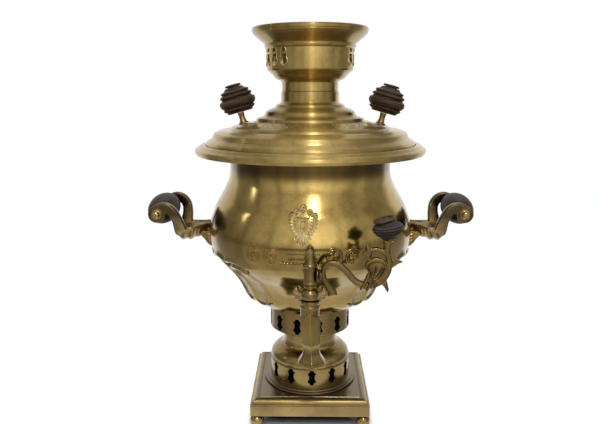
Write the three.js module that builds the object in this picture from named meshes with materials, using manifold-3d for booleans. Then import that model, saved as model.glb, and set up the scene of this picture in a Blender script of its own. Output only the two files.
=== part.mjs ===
// A charcoal samovar of turned and cast brass: a footed plinth, a pierced pedestal, a lobed body around a fire
// tube, a brim, a lift-off lid, a crown that holds a teapot, two roller handles and a tap with a scroll key.
// Millimetres, +Z up, the tap faces -Y. The origin lies on the floor under the middle of the whole.
import * as THREE from "three";
import { mergeVertices } from "three/addons/utils/BufferGeometryUtils.js";
import Module from "manifold-3d";

const wasm = await Module();
wasm.setup();

// Facets of turned pieces, from the widest to the smallest
const mainSides = 24;
const bodySides = 2 * mainSides;
const crownSides = 22;
const knobSides = 14;
const smallSides = 10;
const tinySides = 8;

// Clearances and cutting
const seatGap = 0.25;
const runGap = 0.3;
const plugGap = 0.06;
const overrun = 3;
const weldDistance = 0.0001;

// Walls
const sheetWall = 1.6;
const bodyWall = 3;

// Feet
const footDiameter = 16.4;
const footRestRadius = 3.4;
const footNeckRadius = 4.4;
const footHeight = 15.2;
const footStudRadius = 2.4;
const footStudLength = 9;
const footInset = 8.6;
const footBossRadius = 6.5;

// Plinth
const plinthHalf = 66.8;
const slabHeight = 14.5;
const plinthRise = 5.3;
const plinthShelf = 2.4;
const plinthMoulding = 5.8;
const plinthWall = 3.2;
const airHoleRadius = 38;

// Ring moulding around the foot of the pedestal
const flangeRadius = 55.6;
const flangeHeight = 4;

// Pedestal: pierced drum, waisted cone and neck
const drumRadius = 47.5;
const drumHeight = 31.5;
const coneHeight = 24;
const neckRadius = 31.6;
const neckHeight = 12.5;

// Pierced air collar between the neck and the body
const collarHeight = 28;
const collarBead = 0.9;

// Cartouche openings of the two pierced bands
const openingCount = 12;
const openingWidth = 8.4;
const openingHeight = 18.6;
const drumOpeningLift = 18.4;
const collarOpeningLift = 11.4;
const drumOpeningTurn = 2.7;
const collarOpeningTurn = 12;

// Body
const bodyFootRadius = 48;
const bellyRadius = 117.5;
const bellyRise = 93;
const shoulderRise = 66;
const bodyNeckRadius = 91.7;
const bodyNeckHeight = 26;
const petalPitch = 720 / bodySides;
const petalCount = 8;
const petalStart = 3 * petalPitch - petalPitch / 2;
const petalRidge = 1.3;
const petalGroove = 1.5;

// Fire tube and grate
const tubeFootRadius = 36;
const tubeTopRadius = 27;
const tubeTopStep = 5;
const tubeLedge = 4;
const tubeLedgeHeight = 2;
const grateThickness = 3;
const grateSlots = 7;
const grateSlotWidth = 3.6;
const grateBarWidth = 3.8;

// Brim ring on the body's neck
const rimSeatRadius = 119.4;
const rimWidth = 11.8;
const rimLedge = 3.2;
const rimFloor = 3.2;
const rimCrest = 5.1;
const rimBeadHeight = 6.2;
const rimDrop = 7.5;
const rimBeadWidth = 6.4;

// Lid
const lidHeight = 59.6;
const lidNeckRadius = 32.7;
const lidEdgeHeight = 3.4;
const lidBandOuterShare = 0.596;
const lidBandInnerShare = 0.34;
const lidBandBase = 22;
const lidBandRise = 5.4;
const lidSkirtDepth = 6;

// Crown, the teapot stand
const crownHeight = 68.7;
const crownRadius = 64.6;
const crownNeckRadius = 31.7;
const crownLip = 2.4;
const crownSleeveDepth = 6;
const crownWindowWidth = 9;
const crownWindowHeight = 18.2;
const crownWindowLift = 27.6;
const crownWindowPitch = 360 / crownSides;
const crownWindowsPerSide = 7;
const crownLeftStart = -35;
const crownPlainFacets = 6;

// Turned wooden knobs of the lid
const knobPlaceShare = 0.49;
const knobRadius = 20.75;
const knobHeight = 29.2;
const knobCapRadius = 8.7;
const knobCapHeight = 2.8;
const stemRadius = 3.95;
const stemLength = 11.2;
const stemWasherRadius = 5.75;
const stemWasherHeight = 1.5;
const spigotRadius = 2.2;
const stemStudLength = 8;
const nutHeight = 3.4;
const nutRadius = 5.2;

// Handles
const handleReach = 53.9;
const gripRise = 21;
const gripRadius = 17;
const gripEndRadius = 13.8;
const gripHalf = 32;
const rodRadius = 2.6;
const armDepth = 7.6;
const armThickness = 10.4;
const bossRadius = 8.6;
const acornRadius = 5;
const acornLength = 7;
const yokeWidth = 42;
const yokeDepth = 17.5;
const yokeClearance = 0.9;
const yokeRise = 5.5;
const handleStudRadius = 3;
const handleNutRadius = 6.6;

// Tap
const tapClearance = 11;
const shankRise = 39;
const shankRadius = 6.8;
const shankBore = 3.6;
const shankInside = 17;
const barrelRadius = 9.7;
const barrelDrop = 14;
const shoulderRadius = 10.6;
const shoulderRiseAboveShank = 8.2;
const shoulderHeight = 3;
const plugMouthRadius = 6.6;
const plugTipRadius = 5.2;
const plugDepth = 12;
const spoutDrop = 59.3;
const spoutHalf = 9.8;
const spoutMouthHalf = 13.6;
const spoutMouthReach = 15.8;
const spoutFlareHeight = 9.4;
const spoutBore = 4.4;
const escutcheonRadius = 18;
const escutcheonHeight = 4.6;
const escutcheonFlutes = 14;
const tapNutRadius = 10.4;
const tapNutHeight = 5;

// Tap key: bulb, waist, cylinder and finial
const bulbRadius = 8.4;
const bulbHeight = 12.1;
const waistRadius = 5;
const waistHeight = 4.9;
const keyRadius = 7.2;
const keyLength = 20.5;
const keyNeckRadius = 5.2;
const keyNeckHeight = 13;
const finialHeight = 5;
const portRadius = 3;

// Scroll branch that turns the key
const branchReach = 75.7;
const ferrulePlaceShare = 0.4;
const branchThickness = 6.4;
const branchWidth = 8;
const ferruleRadius = 6.6;
const branchPinRadius = 2.5;
const keyKnobRadius = 15.4;
const keyKnobHeight = 17;
const keyKnobCapRadius = 10.8;
const keyKnobCapHeight = 3.4;
const keyKnobTilt = -13;
const branchSpigotRadius = 2.4;

// Heights of the pieces that stand on each other
const panelZ = footHeight + slabHeight + plinthRise;
const collarZ = panelZ + drumHeight + coneHeight + neckHeight;
const bodyZ = collarZ + collarHeight;
const bellyZ = bodyZ + bellyRise;
const mouthZ = bellyZ + shoulderRise + bodyNeckHeight;
const lidZ = mouthZ + rimFloor + seatGap;
const crownZ = lidZ + lidHeight + seatGap;
const shankZ = bodyZ + shankRise;
const gripZ = bellyZ + gripRise;

// Reach of the handles' rods and of the key's axis from the main axis
const gripReach = bellyRadius + handleReach;
const yokeLength = handleReach - gripRadius - yokeClearance;
const tapReach = bellyRadius + tapClearance;

// Brim from its seat for the lid to its edge, and its ledge inside the neck
const rimRadius = rimSeatRadius + rimWidth;
const rimBore = bodyNeckRadius - rimLedge;

// The tap reaches further forward than the brim reaches back, so the axis stands behind the middle.
const axisY = (tapReach + spoutMouthReach - rimRadius) / 2;

// Outlines as shares of the sizes that they follow: radius share first, height share second
const coneShares = [[0.97, 0], [0.88, 0.16], [0.55, 0.44], [0.25, 0.66], [0.07, 0.84], [0, 1]];
const bellyShares = [
  [0.16, 0.02], [0.28, 0.08], [0.4, 0.19], [0.465, 0.31], [0.555, 0.43], [0.68, 0.54], [0.82, 0.64],
  [0.93, 0.75], [0.98, 0.87], [1, 1],
];
const petalSwellShares = [0, 0.2, 0.8, 1, 1, 1, 0.9, 0, 0, 0];
const shoulderShares = [[0.95, 0.13], [0.8, 0.31], [0.56, 0.5], [0.28, 0.7], [0.06, 0.88]];
const lidSkirtShares = [
  [0.986, 0.082], [0.951, 0.114], [0.914, 0.146], [0.889, 0.232], [0.847, 0.265], [0.8, 0.29], [0.685, 0.3],
  [0.671, 0.329], [0.633, 0.361],
];
const lidDomeShares = [
  [0.332, 0.466], [0.318, 0.508], [0.254, 0.54], [0.216, 0.587], [0.202, 0.629], [0.172, 0.664], [0.09, 0.705],
  [0.06, 0.758], [0.005, 0.805],
];
const lidInnerShares = [
  [0.08, 0.7], [0.172, 0.655], [0.216, 0.57], [0.3, 0.5], [0.36, 0.455], [0.633, 0.355], [0.671, 0.3],
  [0.8, 0.28], [0.889, 0.222], [0.914, 0.136],
];
const crownShares = [
  [0, 0.143], [0.06, 0.17], [0.165, 0.188], [0.32, 0.262], [0.435, 0.309], [0.497, 0.345], [0.524, 0.655],
  [0.594, 0.716], [0.606, 0.748], [0.788, 0.825], [0.976, 0.913],
];
const crownInnerShares = [
  [0, 0.143], [0.165, 0.188], [0.435, 0.309], [0.497, 0.345], [0.524, 0.7], [0.606, 0.77], [0.788, 0.84],
  [0.93, 0.915],
];
const knobShares = [
  [0.69, 0], [0.9, 0.17], [0.86, 0.23], [1, 0.4], [0.95, 0.57], [0.84, 0.65], [0.83, 0.76], [0.73, 0.82],
  [0.7, 0.94], [0.45, 1],
];
const keyKnobShares = [
  [0.42, 0], [0.62, 0.12], [1, 0.52], [0.95, 0.68], [0.8, 0.72], [0.82, 0.82], [0.66, 0.9], [0.66, 1],
];

// Half of a cartouche, from the foot of its axis to the top: across share, height share
const cartoucheShares = [
  [0, -0.5], [0.42, -0.4], [1, -0.33], [0.56, 0], [1, 0.33], [0.42, 0.4], [0, 0.5],
];
const crownWindowShares = [[0, -0.5], [1, -0.18], [0.62, 0.14], [0.3, 0.3], [0.7, 0.42], [0.4, 0.5]];

// Scroll branch, as shares of its reach from the key's axis and from the middle of the ferrule
const scrollSideShare = 0.197;
const scrollShares = [
  [0.345, -0.262], [0.285, -0.245], [0.24, -0.2], [scrollSideShare, -0.085], [scrollSideShare, 0.05],
  [0.255, 0.138], [0.355, 0.158], [0.442, 0.104], [0.531, 0], [0.617, -0.092], [0.725, -0.14], [0.845, -0.12],
  [0.936, -0.045], [0.986, 0.071], [1, 0.221], [0.992, 0.385], [0.989, 0.458],
];
const scrollWidthShares = [
  0.25, 0.5, 0.8, 1, 1, 0.95, 1, 1, 0.95, 0.95, 0.95, 0.95, 0.95, 0.95, 1, 1.1, 1.25,
];
const curlShares = [[0.315, 0.16], [0.35, 0.22], [0.375, 0.28], [0.385, 0.32]];
const curlWidthShares = [0.9, 0.7, 0.75, 0.6];
const innerArcShares = [[0.99, 0.27], [0.936, 0.328], [0.87, 0.35], [0.81, 0.34], [0.77, 0.31]];
const innerArcWidthShares = [0.6, 0.75, 0.65, 0.6, 0.8];
const thornShares = [
  [[0.8, 0.37], [0.735, 0.425], [0.745, 0.33]],
  [[0.775, 0.36], [0.66, 0.29], [0.77, 0.275]],
  [[0.72, 0.31], [0.765, 0.188], [0.81, 0.3]],
  [[1, 0.24], [0.99, 0.09], [1.2, 0.18]],
  [[0.88, -0.14], [1.02, -0.25], [0.985, -0.05]],
  [[0.2, -0.2], [0.22, -0.307], [0.29, -0.24]],
];
const leafShares = [
  [0.7, 0.07], [0.76, 0.15], [0.85, 0.2], [0.96, 0.21], [0.985, 0.12], [0.95, 0.01], [0.87, -0.08],
  [0.79, -0.12], [0.73, -0.02],
];

// Handle arm: reach from the wall to the rod, distance from the middle, rise from the belly to the rod
const armShares = [
  [0.547, 0.47, -0.24], [0.547, 0.66, 0.24], [0.553, 0.86, 0.67], [0.612, 1, 1.05], [0.735, 1, 1.31],
  [0.881, 1, 1.3], [1, 1, 1],
];

const brass = 0x9a8545;
const darkBrass = 0x74643a;
const wood = 0x3b3028;
const greyWood = 0x4b4641;
const iron = 0x4a4745;
const leather = 0x6a4a30;

const between = (from, to, share) => from + (to - from) * share;

const radians = THREE.MathUtils.degToRad;

// Turns an outline of [radius, height] pairs about Z, counter-clockwise when radius points right.
function turned(outline, sides = mainSides) {
  const points = outline.map(([radius, height]) => new THREE.Vector2(radius, height));
  return new THREE.LatheGeometry(points, sides).rotateX(Math.PI / 2);
}

// Turns a lathe so that the middle of a facet, not an edge, lies at an azimuth from the front.
const facetsTurned = (geometry, azimuth, sides = mainSides) =>
  geometry.rotateZ(radians(azimuth - 180 / sides));

// A closed ring outline: the last point meets the first.
const closedRing = (outline) => [...outline, outline[0]];

const disc = (radius, bottom, top) => [[0, bottom], [radius, bottom], [radius, top], [0, top]];

const sleeve = (inner, outer, bottom, top) =>
  closedRing([[inner, bottom], [outer, bottom], [outer, top], [inner, top]]);

const rod = (radius, bottom, top, sides = smallSides) => turned(disc(radius, bottom, top), sides);

// The closed mesh of a geometry as a solid, without triangles that collapsed to a line.
function solid(geometry) {
  const bare = geometry.index ? geometry.toNonIndexed() : geometry.clone();
  bare.deleteAttribute("normal");
  bare.deleteAttribute("uv");
  const merged = mergeVertices(bare, weldDistance);
  const kept = [];
  const corners = merged.index.array;
  for (let i = 0; i < corners.length; i += 3) {
    const [a, b, c] = [corners[i], corners[i + 1], corners[i + 2]];
    if (a !== b && b !== c && c !== a) kept.push(a, b, c);
  }
  return new wasm.Manifold(
    new wasm.Mesh({
      numProp: 3,
      vertProperties: merged.attributes.position.array,
      triVerts: new Uint32Array(kept),
    }),
  );
}

const joined = (...geometries) => geometries.map(solid).reduce((whole, piece) => whole.add(piece));

// The solid's surface as a geometry.
function surface(body) {
  const mesh = body.getMesh();
  const geometry = new THREE.BufferGeometry();
  geometry.setAttribute("position", new THREE.BufferAttribute(mesh.vertProperties, 3));
  geometry.setIndex(new THREE.BufferAttribute(mesh.triVerts, 1));
  return geometry;
}

// Skins a stack of rings that hold the same number of points, and closes both ends.
function loft(rings) {
  const count = rings[0].length;
  const vertices = rings.flat().flatMap((p) => [p.x, p.y, p.z]);
  const faces = [];
  for (let i = 0; i + 1 < rings.length; i += 1) {
    for (let j = 0; j < count; j += 1) {
      const k = (j + 1) % count;
      const [a, b, c, d] = [i * count + j, i * count + k, (i + 1) * count + k, (i + 1) * count + j];
      faces.push(a, b, c, a, c, d);
    }
  }
  const ends = [[0, true], [rings.length - 1, false]];
  for (const [ring, turnedOver] of ends) {
    const centre = vertices.length / 3;
    const middle = rings[ring].reduce((sum, p) => sum.add(p), new THREE.Vector3()).divideScalar(count);
    vertices.push(middle.x, middle.y, middle.z);
    for (let j = 0; j < count; j += 1) {
      const [a, b] = [ring * count + j, ring * count + ((j + 1) % count)];
      faces.push(centre, ...(turnedOver ? [b, a] : [a, b]));
    }
  }
  const geometry = new THREE.BufferGeometry();
  geometry.setAttribute("position", new THREE.Float32BufferAttribute(vertices, 3));
  geometry.setIndex(signedVolume(vertices, faces) < 0 ? faces.reverse() : faces);
  return geometry;
}

function signedVolume(vertices, faces) {
  const point = (i) => new THREE.Vector3(vertices[3 * i], vertices[3 * i + 1], vertices[3 * i + 2]);
  let sum = 0;
  for (let i = 0; i < faces.length; i += 3) {
    sum += point(faces[i]).dot(point(faces[i + 1]).cross(point(faces[i + 2])));
  }
  return sum;
}

// A bar along a path that lies mostly in the XZ plane, six-sided with flat faces front and back
function bar(path, widthShares, width, depth, steps) {
  const curve = new THREE.CatmullRomCurve3(path, false, "centripetal");
  const rings = [];
  for (let i = 0; i <= steps; i += 1) {
    const share = i / steps;
    const place = share * (widthShares.length - 1);
    const low = Math.min(Math.floor(place), widthShares.length - 2);
    const half = (between(widthShares[low], widthShares[low + 1], place - low) * width) / 2;
    const centre = curve.getPoint(share);
    const tangent = curve.getTangent(share);
    const across = new THREE.Vector3(-tangent.z, 0, tangent.x).normalize();
    const inner = half * 0.7;
    const corners = [
      [half, 0], [inner, depth / 2], [-inner, depth / 2], [-half, 0], [-inner, -depth / 2],
      [inner, -depth / 2],
    ];
    rings.push(
      corners.map(([a, y]) => new THREE.Vector3(centre.x + across.x * a, centre.y + y, centre.z + across.z * a)),
    );
  }
  return loft(rings);
}

// A flat shape in the XZ plane, drawn from [x, z] pairs and thick in Y.
function plate(points, thickness, edge) {
  const shape = new THREE.Shape(points.map(([x, z]) => new THREE.Vector2(x, z)));
  const bevel = { bevelThickness: edge, bevelSize: edge, bevelOffset: -edge, bevelSegments: 1 };
  const depth = thickness - 2 * edge;
  const geometry = new THREE.ExtrudeGeometry(shape, { depth, bevelEnabled: edge > 0, ...bevel });
  return geometry.rotateX(Math.PI / 2).translate(0, depth / 2, 0);
}

// Symmetric cutter for a window in a turned wall: it runs from the axis side out past the wall.
function windowCutter(halfShares, width, height, radius, azimuth, lift) {
  const right = halfShares.map(([across, up]) => [(across * width) / 2, up * height]);
  const left = right.filter(([x]) => x > 0).map(([x, z]) => [-x, z]);
  const shape = new THREE.Shape([...right, ...left.reverse()].map(([x, z]) => new THREE.Vector2(x, z)));
  const depth = radius / 3;
  return new THREE.ExtrudeGeometry(shape, { depth, bevelEnabled: false })
    .rotateX(Math.PI / 2)
    .translate(0, depth - radius - overrun, lift)
    .rotateZ(radians(azimuth));
}

const group = new THREE.Group();
const main = new THREE.Group();
main.position.y = axisY;
group.add(main);

function addPiece(parent, name, shape, color, roughness = 0.35, metalness = 1) {
  const geometry = shape.isBufferGeometry ? shape : surface(shape);
  const mesh = new THREE.Mesh(geometry, new THREE.MeshStandardMaterial({ color, roughness, metalness }));
  mesh.name = name;
  parent.add(mesh);
  return mesh;
}

// Ball feet with studs that screw up into the plinth's bosses
function footOutline() {
  const radius = footDiameter / 2;
  const centre = Math.sqrt(radius ** 2 - footRestRadius ** 2);
  const low = -Math.acos(footRestRadius / radius);
  const high = Math.acos(footNeckRadius / radius);
  const arcSteps = 4;
  const arc = [];
  for (let i = 0; i <= arcSteps; i += 1) {
    const angle = between(low, high, i / arcSteps);
    arc.push([radius * Math.cos(angle), centre + radius * Math.sin(angle)]);
  }
  arc[0][1] = 0;
  const neckTop = footHeight - seatGap;
  const studTop = footHeight + footStudLength;
  return [[0, 0], ...arc, [footNeckRadius, neckTop], [footStudRadius, neckTop], [footStudRadius, studTop],
    [0, studTop]];
}

const footPlace = plinthHalf - footInset;
const corners = [
  ["front_left", -1, -1], ["front_right", 1, -1], ["back_left", -1, 1], ["back_right", 1, 1],
];
for (const [name, x, y] of corners) {
  const foot = addPiece(main, `foot_${name}`, turned(footOutline(), smallSides), darkBrass);
  foot.position.set(x * footPlace, y * footPlace, 0);
}

// Square plinth: a lathe of four sides gives mitred mouldings
function squareTurned(outline) {
  const corner = outline.map(([half, height]) => [half * Math.SQRT2, height]);
  return turned(corner, 4).rotateZ(Math.PI / 4);
}

function plinthSolid() {
  const top = slabHeight + plinthRise;
  const shelf = plinthHalf - plinthShelf;
  const panel = shelf - plinthMoulding;
  const groove = plinthShelf / 4;
  const under = slabHeight - plinthWall;
  const outline = [
    [0, top - plinthWall], [panel - plinthWall, top - plinthWall], [plinthHalf - plinthWall, under],
    [plinthHalf - plinthWall, 0], [plinthHalf, 0], [plinthHalf, slabHeight - 2 * groove],
    [plinthHalf - groove, slabHeight - groove], [plinthHalf - groove, slabHeight],
    [shelf, slabHeight + groove], [between(shelf, panel, 0.12), between(slabHeight, top, 0.45)],
    [between(shelf, panel, 0.4), between(slabHeight, top, 0.8)],
    [between(shelf, panel, 0.8), top], [between(shelf, panel, 0.86), top - groove / 2],
    [panel, top - groove / 2], [panel - groove, top], [0, top],
  ];
  let whole = solid(squareTurned(outline));
  for (const [, x, y] of corners) {
    const boss = rod(footBossRadius, 0, slabHeight).translate(x * footPlace, y * footPlace, 0);
    whole = whole.add(solid(boss));
  }
  for (const [, x, y] of corners) {
    const hole = rod(footStudRadius + runGap, -overrun, footStudLength + runGap);
    whole = whole.subtract(solid(hole.translate(x * footPlace, y * footPlace, 0)));
  }
  return whole.subtract(solid(rod(airHoleRadius, 0, top + overrun, mainSides)));
}

addPiece(main, "plinth", plinthSolid(), darkBrass).position.z = footHeight;

function flangeOutline() {
  const inner = drumRadius + seatGap;
  const width = flangeRadius - inner;
  return closedRing([
    [inner, 0], [flangeRadius - width * 0.1, 0], [flangeRadius, flangeHeight * 0.3],
    [flangeRadius - width * 0.1, flangeHeight * 0.6], [flangeRadius - width * 0.55, flangeHeight * 0.62],
    [flangeRadius - width * 0.65, flangeHeight * 0.9], [inner, flangeHeight],
  ]);
}

const flange = facetsTurned(turned(flangeOutline()), drumOpeningTurn);
addPiece(main, "base_flange", flange, brass).position.z = panelZ + seatGap;

// Pedestal of one spun sheet, pierced around the drum
function pedestalSolid() {
  const rise = drumHeight + coneHeight;
  const top = rise + neckHeight - seatGap;
  const cone = coneShares.map(([out, up]) => [
    between(neckRadius, drumRadius, out), between(drumHeight, rise, up),
  ]);
  const inside = [cone[4], cone[2]].map(([radius, height]) => [
    radius - sheetWall, height - sheetWall,
  ]);
  const outline = closedRing([
    [drumRadius - sheetWall, seatGap], [drumRadius, seatGap], [drumRadius, drumHeight - sheetWall / 2],
    ...cone, [neckRadius, top], [neckRadius - sheetWall, top], [neckRadius - sheetWall, rise - sheetWall],
    ...inside, [drumRadius - sheetWall, drumHeight - 2 * sheetWall],
  ]);
  const wall = facetsTurned(turned(outline), drumOpeningTurn);
  return pierced(solid(wall), drumRadius, drumOpeningTurn, drumOpeningLift);
}

// Cuts the ring of cartouche openings through a turned wall.
function pierced(wall, radius, turn, lift) {
  const cutters = [];
  for (let i = 0; i < openingCount; i += 1) {
    const azimuth = turn + (i * 360) / openingCount;
    cutters.push(windowCutter(cartoucheShares, openingWidth, openingHeight, radius, azimuth, lift));
  }
  return wall.subtract(joined(...cutters));
}

addPiece(main, "pedestal", pedestalSolid(), brass).position.z = panelZ;

function collarSolid() {
  const inner = neckRadius - sheetWall;
  const radius = drumRadius;
  const top = collarHeight - seatGap;
  const outline = closedRing([
    [inner, 0], [radius - collarBead, 0], [radius + collarBead / 2, collarBead], [radius, 2 * collarBead],
    [radius, top], [radius - sheetWall, top], [radius - sheetWall, sheetWall], [inner, sheetWall],
  ]);
  const wall = facetsTurned(turned(outline), collarOpeningTurn);
  return pierced(solid(wall), radius, collarOpeningTurn, collarOpeningLift);
}

addPiece(main, "air_collar", collarSolid(), brass).position.z = collarZ;

// Body outline from its foot to its mouth, in the body's own heights
function bodyOutline() {
  const lower = bellyShares.map(([out, up], i) => ({
    radius: between(bodyFootRadius, bellyRadius, out), height: bellyRise * up, swell: petalSwellShares[i],
  }));
  const upper = shoulderShares.map(([out, up]) => ({
    radius: between(bodyNeckRadius, bellyRadius, out), height: bellyRise + shoulderRise * up, swell: 0,
  }));
  const neckZ = bellyRise + shoulderRise;
  return [
    { radius: bodyFootRadius, height: 0, swell: 0 },
    ...lower,
    ...upper,
    { radius: bodyNeckRadius, height: neckZ, swell: 0 },
    { radius: bodyNeckRadius, height: neckZ + bodyNeckHeight, swell: 0 },
  ];
}

// Relief of the lobes on the lower body: ridges and grooves on both flanks, plain metal behind the tap
function petalRelief(azimuth, swell) {
  const fromFront = Math.abs(THREE.MathUtils.euclideanModulo(azimuth + 180, 360) - 180);
  const place = (fromFront - petalStart) / petalPitch;
  if (place < 0 || place > petalCount) return 0;
  const across = Math.sin(Math.PI * (place - Math.floor(place)));
  return swell * between(-petalGroove, petalRidge, across);
}

// The body's outer skin grown by a gap, as a closed solid
function bodySkin(gap) {
  const rings = bodyOutline().map(({ radius, height, swell }) => {
    const drop = height < bellyRise ? -gap : gap;
    const ring = [];
    for (let j = 0; j < bodySides; j += 1) {
      const azimuth = (j * 360) / bodySides - 90;
      const reach = radius + gap + petalRelief(azimuth + 90, swell);
      const angle = radians(azimuth);
      ring.push(new THREE.Vector3(reach * Math.cos(angle), reach * Math.sin(angle), height + drop));
    }
    return ring;
  });
  return solid(loft(rings));
}

// The water space inside the body's wall, shrunk by a gap
function bodyCavity(gap) {
  const wall = bodyWall + gap;
  const rows = bodyOutline();
  const inside = [2, 3, 5, 6, 7, 8].map((i) => [rows[i].radius - wall, rows[i].height + wall / 2]);
  const above = [10, 12, 13, 15].map((i) => [rows[i].radius - wall, rows[i].height]);
  const neck = bodyNeckRadius - sheetWall - gap;
  const top = bellyRise + shoulderRise + bodyNeckHeight + overrun;
  const floor = rows[1].radius - wall;
  return solid(
    turned([[0, wall], [floor, wall], ...inside, ...above, [neck, bellyRise + shoulderRise], [neck, top], [0, top]]),
  );
}

// Radius and slope of the plain wall at a height of the body
function wallAt(height) {
  const rows = bodyOutline();
  const i = rows.findIndex((row) => row.height > height);
  const [low, high] = [rows[i - 1], rows[i]];
  const share = (height - low.height) / (high.height - low.height);
  return {
    radius: between(low.radius, high.radius, share),
    tilt: Math.atan2(high.radius - low.radius, high.height - low.height),
  };
}

const handleStudRise = bellyRise - yokeDepth / 4;

function bodySolid() {
  let whole = bodySkin(0).subtract(bodyCavity(0));
  whole = whole.subtract(solid(rod(tubeFootRadius + seatGap, -overrun, 2 * bodyWall, mainSides)));
  const shank = rod(shankRadius + seatGap, 0, bellyRadius).rotateX(Math.PI / 2).translate(0, 0, shankRise);
  const studs = rod(handleStudRadius + seatGap, -bellyRadius - overrun, bellyRadius + overrun)
    .rotateY(Math.PI / 2)
    .translate(0, 0, handleStudRise);
  return whole.subtract(solid(shank)).subtract(solid(studs));
}

addPiece(main, "body_shell", bodySolid(), brass).position.z = bodyZ;

// Fire tube with a ledge for the grate
function tubeOutline() {
  const top = crownZ + tubeTopStep - bodyZ;
  const foot = tubeFootRadius - sheetWall;
  return closedRing([
    [foot - tubeLedge, seatGap], [tubeFootRadius, seatGap], [tubeFootRadius, 2 * bodyWall],
    [tubeTopRadius, mouthZ - bodyZ], [tubeTopRadius, top], [tubeTopRadius - sheetWall, top],
    [tubeTopRadius - sheetWall, mouthZ - bodyZ], [foot, 2 * bodyWall], [foot, tubeLedgeHeight],
    [foot - tubeLedge, tubeLedgeHeight],
  ]);
}

addPiece(main, "fire_tube", turned(tubeOutline()), darkBrass, 0.6).position.z = bodyZ;

function grateSolid() {
  const radius = tubeFootRadius - sheetWall - runGap;
  let whole = solid(rod(radius, 0, grateThickness, mainSides));
  const pitch = grateSlotWidth + grateBarWidth;
  const ring = radius - grateBarWidth;
  for (let i = 0; i < grateSlots; i += 1) {
    const place = (i - (grateSlots - 1) / 2) * pitch;
    const edge = Math.abs(place) + grateSlotWidth / 2;
    const length = 2 * Math.sqrt(Math.max(ring ** 2 - edge ** 2, grateSlotWidth ** 2));
    const slot = new THREE.BoxGeometry(grateSlotWidth, length, grateThickness + 2 * overrun);
    whole = whole.subtract(solid(slot.translate(place, 0, grateThickness / 2)));
  }
  return whole;
}

addPiece(main, "grate", grateSolid(), iron, 0.8, 0.6).position.z = bodyZ + tubeLedgeHeight + seatGap;

// Brim ring with a recess for the lid
function rimOutline() {
  const bead = rimFloor - rimDrop;
  const beadTop = bead + rimBeadHeight;
  const edge = rimBeadHeight / 3;
  const annulus = rimRadius - rimBeadWidth;
  const under = rimFloor - 1.1 * sheetWall;
  return closedRing([
    [rimBore, seatGap], [bodyNeckRadius + sheetWall, seatGap], [bodyNeckRadius + 2 * sheetWall, under],
    [rimSeatRadius - sheetWall, under], [annulus - 1.4 * sheetWall, rimCrest - 1.6 * sheetWall],
    [rimRadius - 3 * sheetWall, beadTop - 1.2 * sheetWall], [rimRadius - 3 * sheetWall, bead - sheetWall],
    [rimRadius - edge, bead - sheetWall], [rimRadius, bead + edge / 2],
    [rimRadius - edge / 3, beadTop - edge / 2], [rimRadius - edge, beadTop],
    [annulus, rimCrest - sheetWall / 4], [rimSeatRadius + sheetWall, rimCrest],
    [rimSeatRadius, rimCrest - sheetWall / 4], [rimSeatRadius, rimFloor], [rimBore, rimFloor],
  ]);
}

addPiece(main, "rim_ring", turned(rimOutline()), brass).position.z = mouthZ;

// Lid
const lidRadius = rimSeatRadius - runGap * 2;
const lidBandOuter = between(lidNeckRadius, lidRadius, lidBandOuterShare);
const lidBandInner = between(lidNeckRadius, lidRadius, lidBandInnerShare);
const knobPlace = between(lidNeckRadius, lidRadius, knobPlaceShare);
const knobTilt = Math.atan2(lidBandRise, lidBandOuter - lidBandInner);
const lidPoint = ([out, up]) => [between(lidNeckRadius, lidRadius, out), lidHeight * up];

function lidSolid() {
  const inset = ([radius, height]) => [radius - sheetWall, height - sheetWall];
  const neckBore = lidNeckRadius - sheetWall;
  const skirt = rimBore - runGap * 2;
  const outline = closedRing([
    [skirt, -lidSkirtDepth], [skirt, 0], [lidRadius, 0], [lidRadius, lidEdgeHeight],
    ...lidSkirtShares.map(lidPoint), [lidBandOuter, lidBandBase],
    [lidBandInner, lidBandBase + lidBandRise], ...lidDomeShares.map(lidPoint),
    [lidNeckRadius, lidHeight * 0.83], [lidNeckRadius, lidHeight], [neckBore, lidHeight],
    [neckBore, lidHeight * 0.805 - sheetWall], ...lidInnerShares.map(lidPoint).map(inset),
    [lidRadius - 2 * sheetWall, sheetWall],
    [skirt - sheetWall, sheetWall], [skirt - sheetWall, -lidSkirtDepth],
  ]);
  let whole = solid(turned(outline));
  for (const side of [-1, 1]) {
    const hole = rod(spigotRadius + runGap, -stemStudLength, overrun, tinySides);
    whole = whole.subtract(solid(onLid(hole, side)));
  }
  return whole;
}

// Height of the lid's band where the knobs stand, and the move of a piece from its own frame to there
const knobSeat = lidBandBase + (lidBandRise * (lidBandOuter - knobPlace)) / (lidBandOuter - lidBandInner);
const onLid = (geometry, side) => geometry.rotateY(side * knobTilt).translate(side * knobPlace, 0, knobSeat);

const lidGroup = new THREE.Group();
lidGroup.position.z = lidZ;
main.add(lidGroup);
addPiece(lidGroup, "lid", lidSolid(), brass);

const stemTop = seatGap + stemWasherHeight + stemLength;
const knobBase = stemTop + seatGap;
const knobTop = knobBase + knobHeight;

function stemOutline() {
  const washerTop = seatGap + stemWasherHeight;
  const spigotTop = knobTop + knobCapHeight / 2;
  return [
    [0, -stemStudLength], [spigotRadius, -stemStudLength], [spigotRadius, seatGap],
    [stemWasherRadius, seatGap], [stemWasherRadius, washerTop - stemWasherHeight / 4],
    [stemRadius, washerTop + stemWasherHeight / 3], [stemRadius * 0.85, washerTop + stemLength / 2],
    [stemRadius, stemTop], [spigotRadius, stemTop], [spigotRadius, spigotTop], [0, spigotTop],
  ];
}

// A turned outline around a bore, from shares of a radius and a height
const bored = (shares, radius, height, bore) =>
  closedRing([[bore, 0], ...shares.map(([out, up]) => [radius * out, height * up]), [bore, height]]);

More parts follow.
